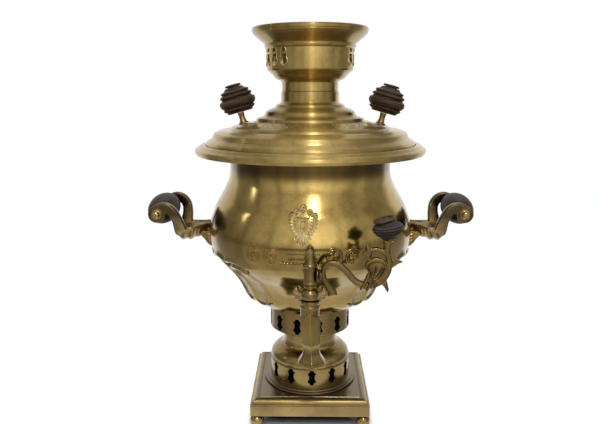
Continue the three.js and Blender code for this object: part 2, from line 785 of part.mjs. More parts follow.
function capOutline(radius, height, bore) {
  const edge = height / 3;
  return [
    [bore, 0], [radius, 0], [radius, height - edge], [radius - edge, height], [0, height],
    [0, height / 2 + seatGap], [bore, height / 2 + seatGap], [bore, 0],
  ];
}

// Six-sided nut: its bore's flats clear the round thread
const nutSides = 6;
const nut = (bore, radius, height) =>
  turned(sleeve(bore / Math.cos(Math.PI / nutSides), radius, 0, height), nutSides);

for (const [name, side] of [["left", -1], ["right", 1]]) {
  const place = new THREE.Group();
  place.position.set(side * knobPlace, 0, knobSeat);
  place.rotation.y = side * knobTilt;
  lidGroup.add(place);
  const bore = spigotRadius + runGap;
  addPiece(place, `lid_${name}_stem`, turned(stemOutline(), tinySides), darkBrass);
  const knob = turned(bored(knobShares, knobRadius, knobHeight, bore), knobSides);
  addPiece(place, `lid_${name}_knob`, knob, wood, 0.6, 0).position.z = knobBase;
  const cap = turned(capOutline(knobCapRadius, knobCapHeight, bore), knobSides);
  addPiece(place, `lid_${name}_knob_cap`, cap, wood, 0.5, 0).position.z = knobTop + seatGap;
  const stemNut = nut(bore, nutRadius, nutHeight);
  addPiece(place, `lid_${name}_nut`, stemNut, darkBrass).position.z = -1.8 * sheetWall - nutHeight;
}

// Crown with a group of windows on each side
function crownSolid() {
  const point = ([out, up]) => [between(crownNeckRadius, crownRadius, out), crownHeight * up];
  const inset = ([radius, height]) => [radius - sheetWall, height + sheetWall];
  const bore = crownNeckRadius - sheetWall;
  const sleeveRadius = lidNeckRadius - sheetWall - 2 * runGap;
  const lip = crownRadius - crownLip / 3;
  const outline = closedRing([
    [sleeveRadius - sheetWall, -crownSleeveDepth], [sleeveRadius, -crownSleeveDepth], [sleeveRadius, 0],
    [crownNeckRadius, 0], ...crownShares.map(point), [crownRadius, crownHeight * 0.955],
    [crownRadius, crownHeight * 0.98], [lip, crownHeight], [lip - crownLip, crownHeight],
    ...crownInnerShares.map(point).map(inset).reverse(), [bore, crownHeight * 0.143],
    [bore, sheetWall], [sleeveRadius - sheetWall, 0],
  ]);
  const whole = solid(facetsTurned(turned(outline, crownSides), crownLeftStart, crownSides));
  const cutters = [];
  const wallRadius = between(crownNeckRadius, crownRadius, 0.52);
  for (let i = 0; i < crownWindowsPerSide; i += 1) {
    const right = crownLeftStart + crownPlainFacets * crownWindowPitch;
    for (const azimuth of [crownLeftStart - i * crownWindowPitch, right + i * crownWindowPitch]) {
      const [width, height] = [crownWindowWidth, crownWindowHeight];
      const lift = crownWindowLift + crownWindowHeight / 2;
      cutters.push(windowCutter(crownWindowShares, width, height, wallRadius, azimuth, lift));
    }
  }
  return whole.subtract(joined(...cutters));
}

addPiece(main, "crown", crownSolid(), brass).position.z = crownZ;

// Handles: the right one is drawn, and a mirrored group gives the left one
function armPath(side) {
  const bossY = side * (gripHalf + runGap + armDepth / 2);
  return armShares.map(([along, wide, up]) => new THREE.Vector3(
    between(bellyRadius, gripReach, along), bossY * wide, bellyZ + gripRise * up,
  ));
}

const armWidthShares = [0.8, 0.95, 1, 1, 1, 1, 0.8];

// Half section of the yoke at each station: reach, half width, top and bottom as shares of its sizes
const yokeShares = [
  [-0.2, 0.42, 1, 0.14], [0.08, 0.44, 0.98, 0.1], [0.2, 0.5, 0.95, 0.02], [0.3, 0.66, 0.9, 0.1],
  [0.44, 0.78, 0.84, 0], [0.55, 0.9, 0.8, 0.1], [0.68, 1, 0.78, 0], [0.78, 0.98, 0.76, 0.08],
  [0.88, 0.94, 0.7, 0.02], [1, 0.86, 0.6, 0.4],
];

function yoke() {
  const bottom = bellyZ + yokeRise - yokeDepth - sheetWall;
  const rings = yokeShares.map(([along, wide, high, low]) => {
    const x = bellyRadius + yokeLength * along;
    const half = (yokeWidth / 2) * wide;
    const top = bottom + (yokeDepth + sheetWall) * high;
    const under = bottom + yokeDepth * low;
    const middle = between(under, top, 0.55);
    const outline = [
      [half, top], [half * 0.7, top - sheetWall], [-half * 0.7, top - sheetWall], [-half, top],
      [-half * 0.9, middle], [-half * 0.45, under], [half * 0.45, under], [half * 0.9, middle],
    ];
    return outline.map(([y, z]) => new THREE.Vector3(x, y, z));
  });
  return loft(rings);
}

// Small leaf that curls down from the yoke to the wall
function hook() {
  const bottom = bellyZ + yokeRise - yokeDepth;
  const points = [
    [bellyRadius + yokeLength * 0.3, bottom + sheetWall * 2], [bellyRadius - overrun, bottom + yokeDepth / 2],
    [bellyRadius - overrun, bottom - yokeDepth * 0.48], [bellyRadius + sheetWall, bottom - yokeDepth * 0.44],
  ];
  return plate(points, yokeWidth * 0.3, sheetWall / 2);
}

function bracketSolid() {
  let whole = solid(yoke()).add(solid(hook()));
  for (const side of [-1, 1]) {
    whole = whole.add(solid(bar(armPath(side), armWidthShares, armThickness, armDepth, 9)));
    const start = gripHalf + runGap;
    const boss = rod(bossRadius, start, start + armDepth).rotateX((-side * Math.PI) / 2);
    whole = whole.add(solid(boss.translate(gripReach, 0, gripZ)));
  }
  whole = whole.subtract(solid(surface(bodySkin(seatGap)).translate(0, 0, bodyZ)));
  const bore = rod(rodRadius + seatGap, -gripReach, gripReach, tinySides).rotateX(Math.PI / 2);
  whole = whole.subtract(solid(bore.translate(gripReach, 0, gripZ)));
  const studStart = bellyRadius - bodyWall - 3 * handleStudRadius;
  const stud = rod(handleStudRadius, studStart, bellyRadius + yokeLength * 0.3, tinySides);
  return whole.add(solid(stud.rotateY(Math.PI / 2).translate(0, 0, bodyZ + handleStudRise)));
}

const rollerShares = [
  [0, -1], [0.55, -0.97], [0.7, -0.78], [0.92, -0.42], [1, 0], [0.92, 0.42], [0.7, 0.78], [0.55, 0.97], [0, 1],
];

function rollerOutline() {
  const bore = rodRadius + runGap;
  const barrel = rollerShares.map(([out, along]) => [
    between(gripEndRadius, gripRadius, out), gripHalf * along,
  ]);
  return closedRing([[bore, -gripHalf], ...barrel, [bore, gripHalf]]);
}

// Rod between the two arms, and the acorn nut on each end
const armOutside = gripHalf + runGap + armDepth;

function acornOutline() {
  const bore = rodRadius + seatGap;
  return [
    [bore, 0], [acornRadius * 1.25, 0], [acornRadius, acornLength * 0.3], [acornRadius * 0.9, acornLength * 0.7],
    [0, acornLength], [0, acornLength * 0.6], [bore, acornLength * 0.6], [bore, 0],
  ];
}

for (const [name, side] of [["left", -1], ["right", 1]]) {
  const handle = new THREE.Group();
  handle.scale.x = side;
  main.add(handle);
  addPiece(handle, `${name}_bracket`, bracketSolid(), darkBrass, 0.45);
  const rodHalf = armOutside + acornLength / 2;
  const axle = rod(rodRadius, -rodHalf, rodHalf, tinySides).rotateX(Math.PI / 2);
  addPiece(handle, `${name}_rod`, axle, iron, 0.5).position.set(gripReach, 0, gripZ);
  const roller = turned(rollerOutline(), knobSides).rotateX(Math.PI / 2);
  addPiece(handle, `${name}_roller`, roller, wood, 0.6, 0).position.set(gripReach, 0, gripZ);
  for (const [end, way] of [["front", -1], ["back", 1]]) {
    const acorn = turned(acornOutline(), tinySides).rotateX((-way * Math.PI) / 2);
    const place = addPiece(handle, `${name}_${end}_acorn_nut`, acorn, brass);
    place.position.set(gripReach, way * (armOutside + seatGap), gripZ);
  }
  const studNut = nut(handleStudRadius + seatGap, handleNutRadius, nutHeight).rotateY(Math.PI / 2);
  const studNutMesh = addPiece(handle, `${name}_handle_nut`, studNut, darkBrass);
  const innerWall = wallAt(handleStudRise - handleNutRadius).radius - bodyWall;
  const facet = innerWall * Math.cos(Math.PI / mainSides) - 2 * seatGap;
  studNutMesh.position.set(facet - nutHeight, 0, bodyZ + handleStudRise);
}

// Tap, in a frame on the key's axis at the height of the shank
const tap = new THREE.Group();
tap.position.set(0, -tapReach, shankZ);
main.add(tap);

const keySides = 14;
const shankEnd = tapReach - wallAt(shankRise).radius + shankInside;
const flatAcross = Math.cos(Math.PI / keySides);

// Section of the spout seen from above: a ridge in front, flat cheeks and a narrower back
function spoutRing(half, reach, back, height) {
  const outline = [
    [0, -reach], [half, -reach * 0.42], [half, back * 0.5], [half * 0.5, back], [-half * 0.5, back],
    [-half, back * 0.5], [-half, -reach * 0.42],
  ];
  return outline.map(([x, y]) => new THREE.Vector3(x, y, height));
}

function spout() {
  const waistZ = spoutFlareHeight - spoutDrop;
  const lip = spoutFlareHeight / 4;
  return loft([
    spoutRing(spoutHalf * 0.96, spoutHalf, spoutHalf * 0.9, -barrelDrop / 2),
    spoutRing(spoutHalf * 0.9, spoutHalf * 1.04, spoutHalf * 0.84, waistZ + spoutFlareHeight * 0.6),
    spoutRing(spoutHalf * 0.84, spoutHalf * 0.96, spoutHalf * 0.8, waistZ),
    spoutRing(between(spoutHalf, spoutMouthHalf, 0.4), between(spoutHalf, spoutMouthReach, 0.4),
      spoutHalf * 0.9, between(waistZ, -spoutDrop, 0.4)),
    spoutRing(spoutMouthHalf, spoutMouthReach, spoutHalf, lip - spoutDrop),
    spoutRing(spoutMouthHalf * 0.96, spoutMouthReach * 0.97, spoutHalf * 0.97, -spoutDrop),
  ]);
}

function tapBodySolid() {
  const shoulderTop = shoulderRiseAboveShank;
  const shoulderBottom = shoulderTop - shoulderHeight;
  const ring = barrelRadius * 0.93;
  const barrel = [
    [0, -barrelDrop], [ring, -barrelDrop], [barrelRadius, -barrelDrop * 0.7], [barrelRadius, -shoulderHeight],
    [ring, -shoulderHeight * 0.6], [barrelRadius, 0], [ring, shoulderBottom * 0.6],
    [barrelRadius, shoulderBottom], [shoulderRadius, shoulderBottom], [shoulderRadius, shoulderTop],
    [0, shoulderTop],
  ];
  const shank = rod(shankRadius, 0, shankEnd).rotateX(-Math.PI / 2);
  let whole = joined(turned(barrel, keySides), spout(), shank);
  const plugBore = [
    [0, -plugDepth], [plugTipRadius, -plugDepth], [plugMouthRadius, shoulderTop],
    [plugMouthRadius, shoulderTop + overrun], [0, shoulderTop + overrun],
  ];
  whole = whole.subtract(solid(turned(plugBore, keySides)));
  whole = whole.subtract(solid(rod(spoutBore, -spoutDrop - overrun, 0)));
  return whole.subtract(solid(rod(shankBore, 0, shankEnd + overrun, tinySides).rotateX(-Math.PI / 2)));
}

addPiece(tap, "tap_body", tapBodySolid(), darkBrass, 0.45);

// Fluted rose between the tap and the wall, tilted with the wall and hollowed to fit it
function escutcheonSolid() {
  const { radius, tilt } = wallAt(shankRise);
  const count = 2 * escutcheonFlutes;
  const rows = [
    [0.93, -2, 0], [1, 0, 0.04], [0.96, 0.35, 0.08], [0.7, 0.75, 0.1], [0.5, 1, 0],
  ];
  const rings = rows.map(([out, up, flute]) => {
    const ring = [];
    for (let j = 0; j < count; j += 1) {
      const angle = (j * 2 * Math.PI) / count;
      const reach = escutcheonRadius * (out - (j % 2) * flute);
      const lift = escutcheonHeight * (up - (j % 2) * flute * 3);
      ring.push(new THREE.Vector3(reach * Math.cos(angle), reach * Math.sin(angle), lift));
    }
    return ring;
  });
  const rose = loft(rings).rotateX(Math.PI / 2 + tilt).translate(0, tapReach - radius, 0);
  const skin = surface(bodySkin(seatGap)).translate(0, tapReach, -shankRise);
  const hole = rod(shankRadius + seatGap, -overrun, shankEnd).rotateX(-Math.PI / 2);
  return solid(rose).subtract(solid(skin)).subtract(solid(hole));
}

addPiece(tap, "escutcheon", escutcheonSolid(), brass);

// Tapered packing that brings the nut square to the sloping wall
function tapPackingSolid() {
  const nutFace = shankEnd - tapNutHeight - sheetWall;
  const outside = tapReach - wallAt(shankRise - tapNutRadius).radius;
  const ring = sleeve(shankRadius + seatGap, tapNutRadius, outside - bellyRadius / 4, nutFace - seatGap);
  const space = surface(bodyCavity(seatGap)).translate(0, tapReach, -shankRise);
  return solid(turned(ring, smallSides).rotateX(-Math.PI / 2)).intersect(solid(space));
}

addPiece(tap, "tap_packing", tapPackingSolid(), leather, 0.9, 0);
const tapNut = nut(shankRadius + seatGap, tapNutRadius * 1.15, tapNutHeight).rotateX(-Math.PI / 2);
const tapNutMesh = addPiece(tap, "tap_nut", tapNut, darkBrass);
tapNutMesh.position.y = shankEnd - tapNutHeight - sheetWall;

// Key: a hollow taper plug with a side port, under a bulb, a waist, a cylinder and a finial
const bulbZ = shoulderRiseAboveShank + seatGap;
const keyZ = bulbZ + bulbHeight + waistHeight;
const ferruleZ = keyZ + keyLength * ferrulePlaceShare;

function keySolid() {
  const neckZ = keyZ + keyLength;
  const finialZ = neckZ + keyNeckHeight;
  const mouth = plugMouthRadius * flatAcross - plugGap;
  const tip = plugTipRadius * flatAcross - plugGap;
  const outline = [
    [0, runGap - plugDepth], [tip, runGap - plugDepth], [mouth, shoulderRiseAboveShank], [mouth, bulbZ],
    [bulbRadius * 0.88, bulbZ], [bulbRadius, bulbZ + bulbHeight * 0.3], [bulbRadius * 0.96, bulbZ + bulbHeight * 0.5],
    [bulbRadius * 0.72, bulbZ + bulbHeight * 0.82], [waistRadius, bulbZ + bulbHeight],
    [waistRadius, keyZ - waistHeight * 0.5], [keyRadius * 0.94, keyZ - waistHeight * 0.35],
    [keyRadius * 0.94, keyZ], [keyRadius, keyZ + keyRadius / 8],
    [keyRadius, neckZ - keyRadius / 4], [keyRadius * 0.8, neckZ], [keyNeckRadius, neckZ + keyNeckHeight * 0.06],
    [keyNeckRadius * 0.8, neckZ + keyNeckHeight * 0.3], [keyNeckRadius * 0.87, neckZ + keyNeckHeight * 0.7],
    [keyNeckRadius, finialZ - finialHeight * 0.1], [keyNeckRadius * 0.4, finialZ + finialHeight * 0.45],
    [keyNeckRadius * 0.3, finialZ + finialHeight * 0.85], [0, finialZ + finialHeight],
  ];
  let whole = solid(turned(outline, keySides));
  whole = whole.subtract(solid(rod(portRadius, -plugDepth - overrun, portRadius, tinySides)));
  const port = rod(portRadius, 0, keyRadius * 2, tinySides).rotateY(-Math.PI / 2);
  const socket = rod(branchPinRadius + seatGap, keyRadius * 0.3, keyRadius * 2, tinySides).rotateY(Math.PI / 2);
  return whole.subtract(solid(port)).subtract(solid(socket.translate(0, 0, ferruleZ)));
}

addPiece(tap, "tap_key", keySolid(), darkBrass, 0.45);

// Ferrule between the key and the scroll, around the branch's pin
const ferruleStart = keyRadius + seatGap;
const ferruleLength = branchReach * scrollSideShare - branchWidth / 2 - 2 * seatGap - ferruleStart;

function ferruleOutline() {
  const bore = branchPinRadius + seatGap;
  return closedRing([
    [bore, 0], [ferruleRadius * 0.85, 0], [ferruleRadius, ferruleLength * 0.3],
    [ferruleRadius, ferruleLength * 0.7], [ferruleRadius * 0.8, ferruleLength], [bore, ferruleLength],
  ]);
}

const ferrule = turned(ferruleOutline(), smallSides).rotateY(Math.PI / 2);
addPiece(tap, "branch_ferrule", ferrule, darkBrass, 0.45).position.set(ferruleStart, 0, ferruleZ);

const branchPoint = ([along, up]) => [branchReach * along, ferruleZ + branchReach * up];
const branchPath = (shares) => shares.map(branchPoint).map(([x, z]) => new THREE.Vector3(x, 0, z));
const keyKnobPlace = new THREE.Vector3(...branchPath(scrollShares.slice(-1))[0]);
const keyKnobStep = branchThickness / 4;

function branchSolid() {
  const scroll = bar(branchPath(scrollShares), scrollWidthShares, branchWidth, branchThickness, 26);
  const curl = bar(branchPath(curlShares), curlWidthShares, branchWidth, branchThickness * 0.95, 5);
  const arc = bar(branchPath(innerArcShares), innerArcWidthShares, branchWidth, branchThickness * 0.9, 6);
  let whole = joined(scroll, curl, arc);
  for (const thorn of thornShares) {
    whole = whole.add(solid(plate(thorn.map(branchPoint), branchThickness * 0.7, 0)));
  }
  const outline = new THREE.SplineCurve(leafShares.map(branchPoint).map(([x, z]) => new THREE.Vector2(x, z)));
  const leaf = outline.getPoints(18).map((p) => [p.x, p.y]);
  whole = whole.add(solid(plate(leaf, branchThickness * 1.15, branchThickness / 5)));
  const pin = rod(branchPinRadius, keyRadius * 0.3 + seatGap, branchReach * scrollSideShare, tinySides);
  const spigot = rod(branchSpigotRadius, -branchThickness, keyKnobHeight + keyKnobCapHeight / 2 + keyKnobStep,
    tinySides).rotateY(radians(keyKnobTilt));
  whole = whole.add(solid(pin.rotateY(Math.PI / 2).translate(0, 0, ferruleZ)));
  return whole.add(solid(spigot.translate(keyKnobPlace.x, 0, keyKnobPlace.z)));
}

addPiece(tap, "branch", branchSolid(), darkBrass, 0.45);

const keyKnobGroup = new THREE.Group();
keyKnobGroup.position.copy(keyKnobPlace);
keyKnobGroup.rotation.y = radians(keyKnobTilt);
tap.add(keyKnobGroup);
const keyKnobBore = branchSpigotRadius + runGap;
const keyKnob = turned(bored(keyKnobShares, keyKnobRadius, keyKnobHeight, keyKnobBore), knobSides);
addPiece(keyKnobGroup, "key_knob", keyKnob, greyWood, 0.7, 0).position.z = keyKnobStep;
const keyKnobCap = turned(capOutline(keyKnobCapRadius, keyKnobCapHeight, keyKnobBore), knobSides);
const keyKnobCapZ = keyKnobStep + keyKnobHeight + seatGap;
addPiece(keyKnobGroup, "key_knob_cap", keyKnobCap, darkBrass, 0.6).position.z = keyKnobCapZ;

export default group;
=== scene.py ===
"""Looks of the charcoal samovar: finely turned and cast pieces in place of the faceted CAD nodes, with aged
brass, dark wood and soot, on a white floor. Lengths are in millimetres, and meshes are stored in metres."""

import math

import bmesh
import bpy
from mathutils import Matrix, Vector

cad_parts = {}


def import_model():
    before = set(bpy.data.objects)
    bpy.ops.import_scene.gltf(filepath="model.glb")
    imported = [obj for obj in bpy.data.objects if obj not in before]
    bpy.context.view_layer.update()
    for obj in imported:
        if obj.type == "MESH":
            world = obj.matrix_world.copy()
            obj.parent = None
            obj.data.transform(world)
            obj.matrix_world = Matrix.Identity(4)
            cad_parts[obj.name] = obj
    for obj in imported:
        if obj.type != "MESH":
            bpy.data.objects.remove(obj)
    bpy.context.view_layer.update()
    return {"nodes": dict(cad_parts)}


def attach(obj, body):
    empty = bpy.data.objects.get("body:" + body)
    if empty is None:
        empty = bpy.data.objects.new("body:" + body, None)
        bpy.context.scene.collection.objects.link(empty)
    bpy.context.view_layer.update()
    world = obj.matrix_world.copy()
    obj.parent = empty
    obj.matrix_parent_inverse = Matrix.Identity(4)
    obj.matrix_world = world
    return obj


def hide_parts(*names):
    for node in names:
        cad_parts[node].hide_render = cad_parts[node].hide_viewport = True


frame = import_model()

MM = 0.001

# Facets around turned pieces, and the steps of rounded corners
WIDE = 192
FINE = 96
SMALL = 48
CORNER_STEPS = 5
SHARP_ANGLE = math.radians(32)

# Places of the CAD model that the looks are fitted to
AXIS_Y = 6.55
TAP_REACH = 128.5
FOOT_TOP = 15.2
SLAB_TOP = 29.7
PANEL_Z = 35
ASH_Z = 36.2
COLLAR_Z = 103
BODY_Z = 131
SHANK_Z = 170
GRIP_X, GRIP_Z = 171.4, 245
MOUTH_Z = 316
LID_Z = 319.45
CROWN_Z = 379.3
TOP_Z = 448
GAP = 0.25

# Where turned pieces stand, and the tap's key over its shank
ON_AXIS = Matrix.Translation((0, AXIS_Y, 0))
ON_TAP = Matrix.Translation((0, AXIS_Y - TAP_REACH, SHANK_Z))


def at(x, y, z=0):
    return Matrix.Translation((x, y, z))


def turned(degrees, axis):
    return Matrix.Rotation(math.radians(degrees), 4, axis)


def between(low, high, share):
    return low + (high - low) * share


def smooth_step(low, high, value):
    share = min(max((value - low) / (high - low), 0), 1)
    return share * share * (3 - 2 * share)


def bell(value, width):
    """One at zero, and next to nothing two widths away"""
    return math.exp(-(value / width) ** 2)


def turns(count):
    """Equal steps of a full turn"""
    return [2 * math.pi * i / count for i in range(count)]


def around(radius, angle, height):
    """A point at an angle from the front of the axis"""
    return radius * math.sin(angle), AXIS_Y - radius * math.cos(angle), height


def raised(base, points):
    """Points of an outline with their heights given from a base"""
    return [(x, base + height, *radius) for x, height, *radius in points]


def neighbours(points):
    """The points before and after each point of an open line"""
    return zip(points[:1] + points[:-1], points[1:] + points[-1:])


def middle(points):
    return [sum(values) / len(points) for values in zip(*points)]


def catmull(points, per=6):
    """A smooth line through points of any dimension, per steps for each stretch"""
    found = []
    last = len(points) - 1
    for i in range(last):
        near = points[max(i - 1, 0)], points[i], points[i + 1], points[min(i + 2, last)]
        for t in (step / per for step in range(per)):
            found.append(tuple(
                0.5 * (2 * b + (c - a) * t + (2 * a - 5 * b + 4 * c - d) * t * t
                       + (3 * b - 3 * c + d - a) * t ** 3)
                for a, b, c, d in zip(*near)
            ))
    return found + [tuple(points[-1])]


def filleted(points, closed=False):
    """Rounds the corners of a line of (x, y) or (x, y, radius) points by arcs"""
    found = []
    for i, (x, y, *radius) in enumerate(points):
        if not radius:
            found.append((x, y))
            continue
        here = Vector((x, y))
        back = Vector(points[i - 1][:2]) - here
        ahead = Vector(points[(i + 1) % len(points)][:2]) - here
        reach = min(radius[0] / math.tan(back.angle(ahead) / 2), 0.49 * back.length, 0.49 * ahead.length)
        start, end = here + back.normalized() * reach, here + ahead.normalized() * reach
        for t in (step / CORNER_STEPS for step in range(CORNER_STEPS + 1)):
            found.append(tuple(start * (1 - t) ** 2 + here * 2 * t * (1 - t) + end * t ** 2))
    return found


def mirrored_outline(right, width, height):
    """A closed outline from its right half, given in shares of half the width and of the height"""
    points = [(x * width / 2, z * height) for x, z in right]
    return points + [(-x, z) for x, z in reversed(points[1:-1])]


# Meshes, as (vertices, faces), and objects
def lathe_mesh(outline, sides):
    """An outline turned about Z, with its corners rounded; points on the axis close to a fan"""
    outline = filleted(outline)
    vertices, rings = [], []
    for radius, height in outline:
        if radius < 1e-6:
            rings.append([len(vertices)] * sides)
            vertices.append((0, 0, height))
        else:
            rings.append(list(range(len(vertices), len(vertices) + sides)))
            vertices += [(radius * math.sin(a), -radius * math.cos(a), height) for a in turns(sides)]
    faces = []
    on_axis = outline[0][0] < 1e-6 and outline[-1][0] < 1e-6
    for low, high in list(zip(rings, rings[1:])) + ([] if on_axis else [(rings[-1], rings[0])]):
        for j in range(sides):
            k = (j + 1) % sides
            corners = list(dict.fromkeys([low[j], low[k], high[k], high[j]]))
            if len(corners) > 2:
                faces.append(corners)
    return vertices, faces


def loft(rings, looped=False):
    """A skin over rings of points, closed by end faces or from the last ring to the first"""
    count, total = len(rings[0]), len(rings)
    faces = []
    for i in range(total if looped else total - 1):
        low, high = i * count, (i + 1) % total * count
        for j in range(count):
            k = (j + 1) % count
            faces.append([low + j, low + k, high + k, high + j])
    if not looped:
        faces += [list(range(count))[::-1], [(total - 1) * count + j for j in range(count)]]
    return [point for ring in rings for point in ring], faces


def layered(points, heart, layers):
    """A leaf in the XZ plane: its outline drawn in to a heart, in layers of (share, front)"""
    hx, hz = heart
    return loft([[(between(hx, x, share), -front, between(hz, z, share)) for x, z in points]
                 for share, front in layers])


def merged(*parts):
    vertices, faces = [], []
    for some, quads in parts:
        start = len(vertices)
        vertices += [tuple(v) for v in some]
        faces += [[start + i for i in face] for face in quads]
    return vertices, faces


def moved(part, place):
    return [place @ Vector(v) for v in part[0]], part[1]


def add_object(name, data):
    piece = bpy.data.objects.new(name, data)
    bpy.context.scene.collection.objects.link(piece)
    return piece


def new_piece(name, vertices, faces, material, place=None):
    """An object from vertices in millimetres, smooth except at sharp edges"""
    mesh = bpy.data.meshes.new(name)
    mesh.from_pydata([Vector(v) * MM for v in vertices], [], faces)
    if place is not None:
        mesh.transform(Matrix.Scale(MM, 4) @ place @ Matrix.Scale(1 / MM, 4))
    mesh.materials.append(material)
    piece = add_object(name, mesh)
    tidy(piece)
    return piece


def tidy(piece, sharp=SHARP_ANGLE):
    """Welds, turns the faces out and marks smooth and sharp edges"""
    work = bmesh.new()
    work.from_mesh(piece.data)
    bmesh.ops.remove_doubles(work, verts=work.verts, dist=1e-7)
    bmesh.ops.recalc_face_normals(work, faces=work.faces)
    for face in work.faces:
        face.smooth = True
    for edge in work.edges:
        edge.smooth = len(edge.link_faces) == 2 and edge.calc_face_angle(0) < sharp
    work.to_mesh(piece.data)
    work.free()


def weighted(piece):
    """Keeps broad faces flat in the shading beside their rounded corners"""
    piece.modifiers.new("weights", "WEIGHTED_NORMAL").keep_sharp = True
    return piece


def finish_piece(piece, body, slot, *nodes):
    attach(piece, body)
    if nodes:
        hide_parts(*nodes)


def lathe(name, outline, material, sides=WIDE, place=ON_AXIS):
    return weighted(new_piece(name, *lathe_mesh(outline, sides), material, place))


def turned_piece(name, outline, material, body, slot, *nodes, **shape):
    """A turned piece, finished at once; shape holds its sides and place"""
    finish_piece(lathe(name, outline, material, **shape), body, slot, *nodes)


def apply_modifiers(piece):
    graph = bpy.context.evaluated_depsgraph_get()
    graph.update()
    mesh = bpy.data.meshes.new_from_object(piece.evaluated_get(graph))
    piece.modifiers.clear()
    old, piece.data = piece.data, mesh
    mesh.name = old.name
    bpy.data.meshes.remove(old)


def combine(piece, operation, vertices, faces, use_self=False):
    """Joins a mesh to a piece, or takes it out"""
    tool = new_piece(piece.name + "_tool", vertices, faces, piece.data.materials[0])
    modifier = piece.modifiers.new("combine", "BOOLEAN")
    modifier.operation, modifier.solver, modifier.object = operation, "EXACT", tool
    modifier.use_self = use_self
    apply_modifiers(piece)
    bpy.data.objects.remove(tool)


def cut(piece, cutters):
    combine(piece, "DIFFERENCE", *merged(*cutters))
    tidy(piece)
    weighted(piece)


def fuse(piece):
    """Makes one skin of the overlapping closed parts of a mesh, with a far seed as the second operand"""
    far = 9000
    seed = loft([[(0, 0, z), (1, 0, z), (0, 1, z)] for z in (far, far + 1)])
    combine(piece, "UNION", *seed, use_self=True)
    work = bmesh.new()
    work.from_mesh(piece.data)
    bmesh.ops.delete(work, geom=[v for v in work.verts if v.co.z > far / 2 * MM], context="VERTS")
    work.to_mesh(piece.data)
    work.free()
    tidy(piece)


def cast(piece, voxel, rounds):
    """Fuses overlapping solids into one skin with soft fillets, as a casting has"""
    remesh = piece.modifiers.new("skin", "REMESH")
    remesh.mode, remesh.voxel_size, remesh.use_smooth_shade = "VOXEL", voxel * MM, True
    relax = piece.modifiers.new("relax", "SMOOTH")
    relax.factor, relax.iterations = 0.5, rounds
    apply_modifiers(piece)


# Materials
def linear(text):
    """A display colour such as 9a8545 as scene-linear red, green, blue and alpha"""
    parts = [int(text[i:i + 2], 16) / 255 for i in (0, 2, 4)]
    return *(p / 12.92 if p <= 0.04045 else ((p + 0.055) / 1.055) ** 2.4 for p in parts), 1


class Nodes:
    """Shorthand for the node tree of a material or world; a value is a socket, a number or a colour's text"""

    def __init__(self, owner):
        owner.use_nodes = True
        self.owner, self.tree = owner, owner.node_tree

    def put(self, socket, value):
        if isinstance(value, bpy.types.NodeSocket):
            self.tree.links.new(value, socket)
        else:
            socket.default_value = linear(value) if isinstance(value, str) else value

    def add(self, kind, inputs=None, **values):
        node = self.tree.nodes.new("ShaderNode" + kind)
        for key, value in values.items():
            setattr(node, key, value)
        for key, value in (inputs or {}).items():
            self.put(node.inputs[key], value)
        return node

    def place(self, scale=(1, 1, 1)):
        """Object coordinates in metres, scaled"""
        spot = self.add("TexCoord").outputs["Object"]
        return self.add("Mapping", {"Vector": spot, "Scale": scale}).outputs["Vector"]

    def grain(self, vector, scale, detail, roughness=0.55):
        inputs = {"Vector": vector, "Scale": scale, "Detail": detail, "Roughness": roughness}
        return self.add("TexNoise", inputs).outputs["Fac"]

    def ramp(self, value, *stops):
        """A grey level between two stops of (place, level)"""
        node = self.add("ValToRGB", {"Fac": value})
        for stop, (where, level) in zip(node.color_ramp.elements, stops):
            stop.position = where
            stop.color = (level, level, level, 1)
        return node.outputs["Color"]

    def rise(self, value, low, high, start, end):
        """A smooth step from a start to an end level between two values"""
        inputs = {"Value": value, "From Min": low, "From Max": high, "To Min": start, "To Max": end}
        return self.add("MapRange", inputs, interpolation_type="SMOOTHSTEP").outputs[0]

    def mix(self, share, first, second):
        return self.add("Mix", {0: share, 6: first, 7: second}, data_type="RGBA").outputs[2]

    def math(self, operation, *values):
        return self.add("Math", dict(enumerate(values)), operation=operation).outputs[0]

    def bump(self, height, distance, strength, **normal):
        inputs = {"Height": height, "Distance": distance, "Strength": strength, **normal}
        return self.add("Bump", inputs).outputs["Normal"]

    def seen(self):
        """One for the rays of camera, reflections and glass, nought for the light on matt things"""
        rays = self.add("LightPath").outputs
        looks = self.math("MAXIMUM", rays["Is Camera Ray"], rays["Is Glossy Ray"])
        return self.math("MAXIMUM", looks, rays["Is Transmission Ray"])

    def wire(self, **sockets):
        """Sets the inputs of the material's shader"""
        for key, value in sockets.items():
            self.put(self.tree.nodes["Principled BSDF"].inputs[key.replace("_", " ")], value)
        return self.owner

    def surface(self, node):
        """Another shader in place of the material's own"""
        self.put(self.tree.nodes["Material Output"].inputs["Surface"], node.outputs[0])
        return self.owner


def new_material(name):
    return Nodes(bpy.data.materials.new(name))


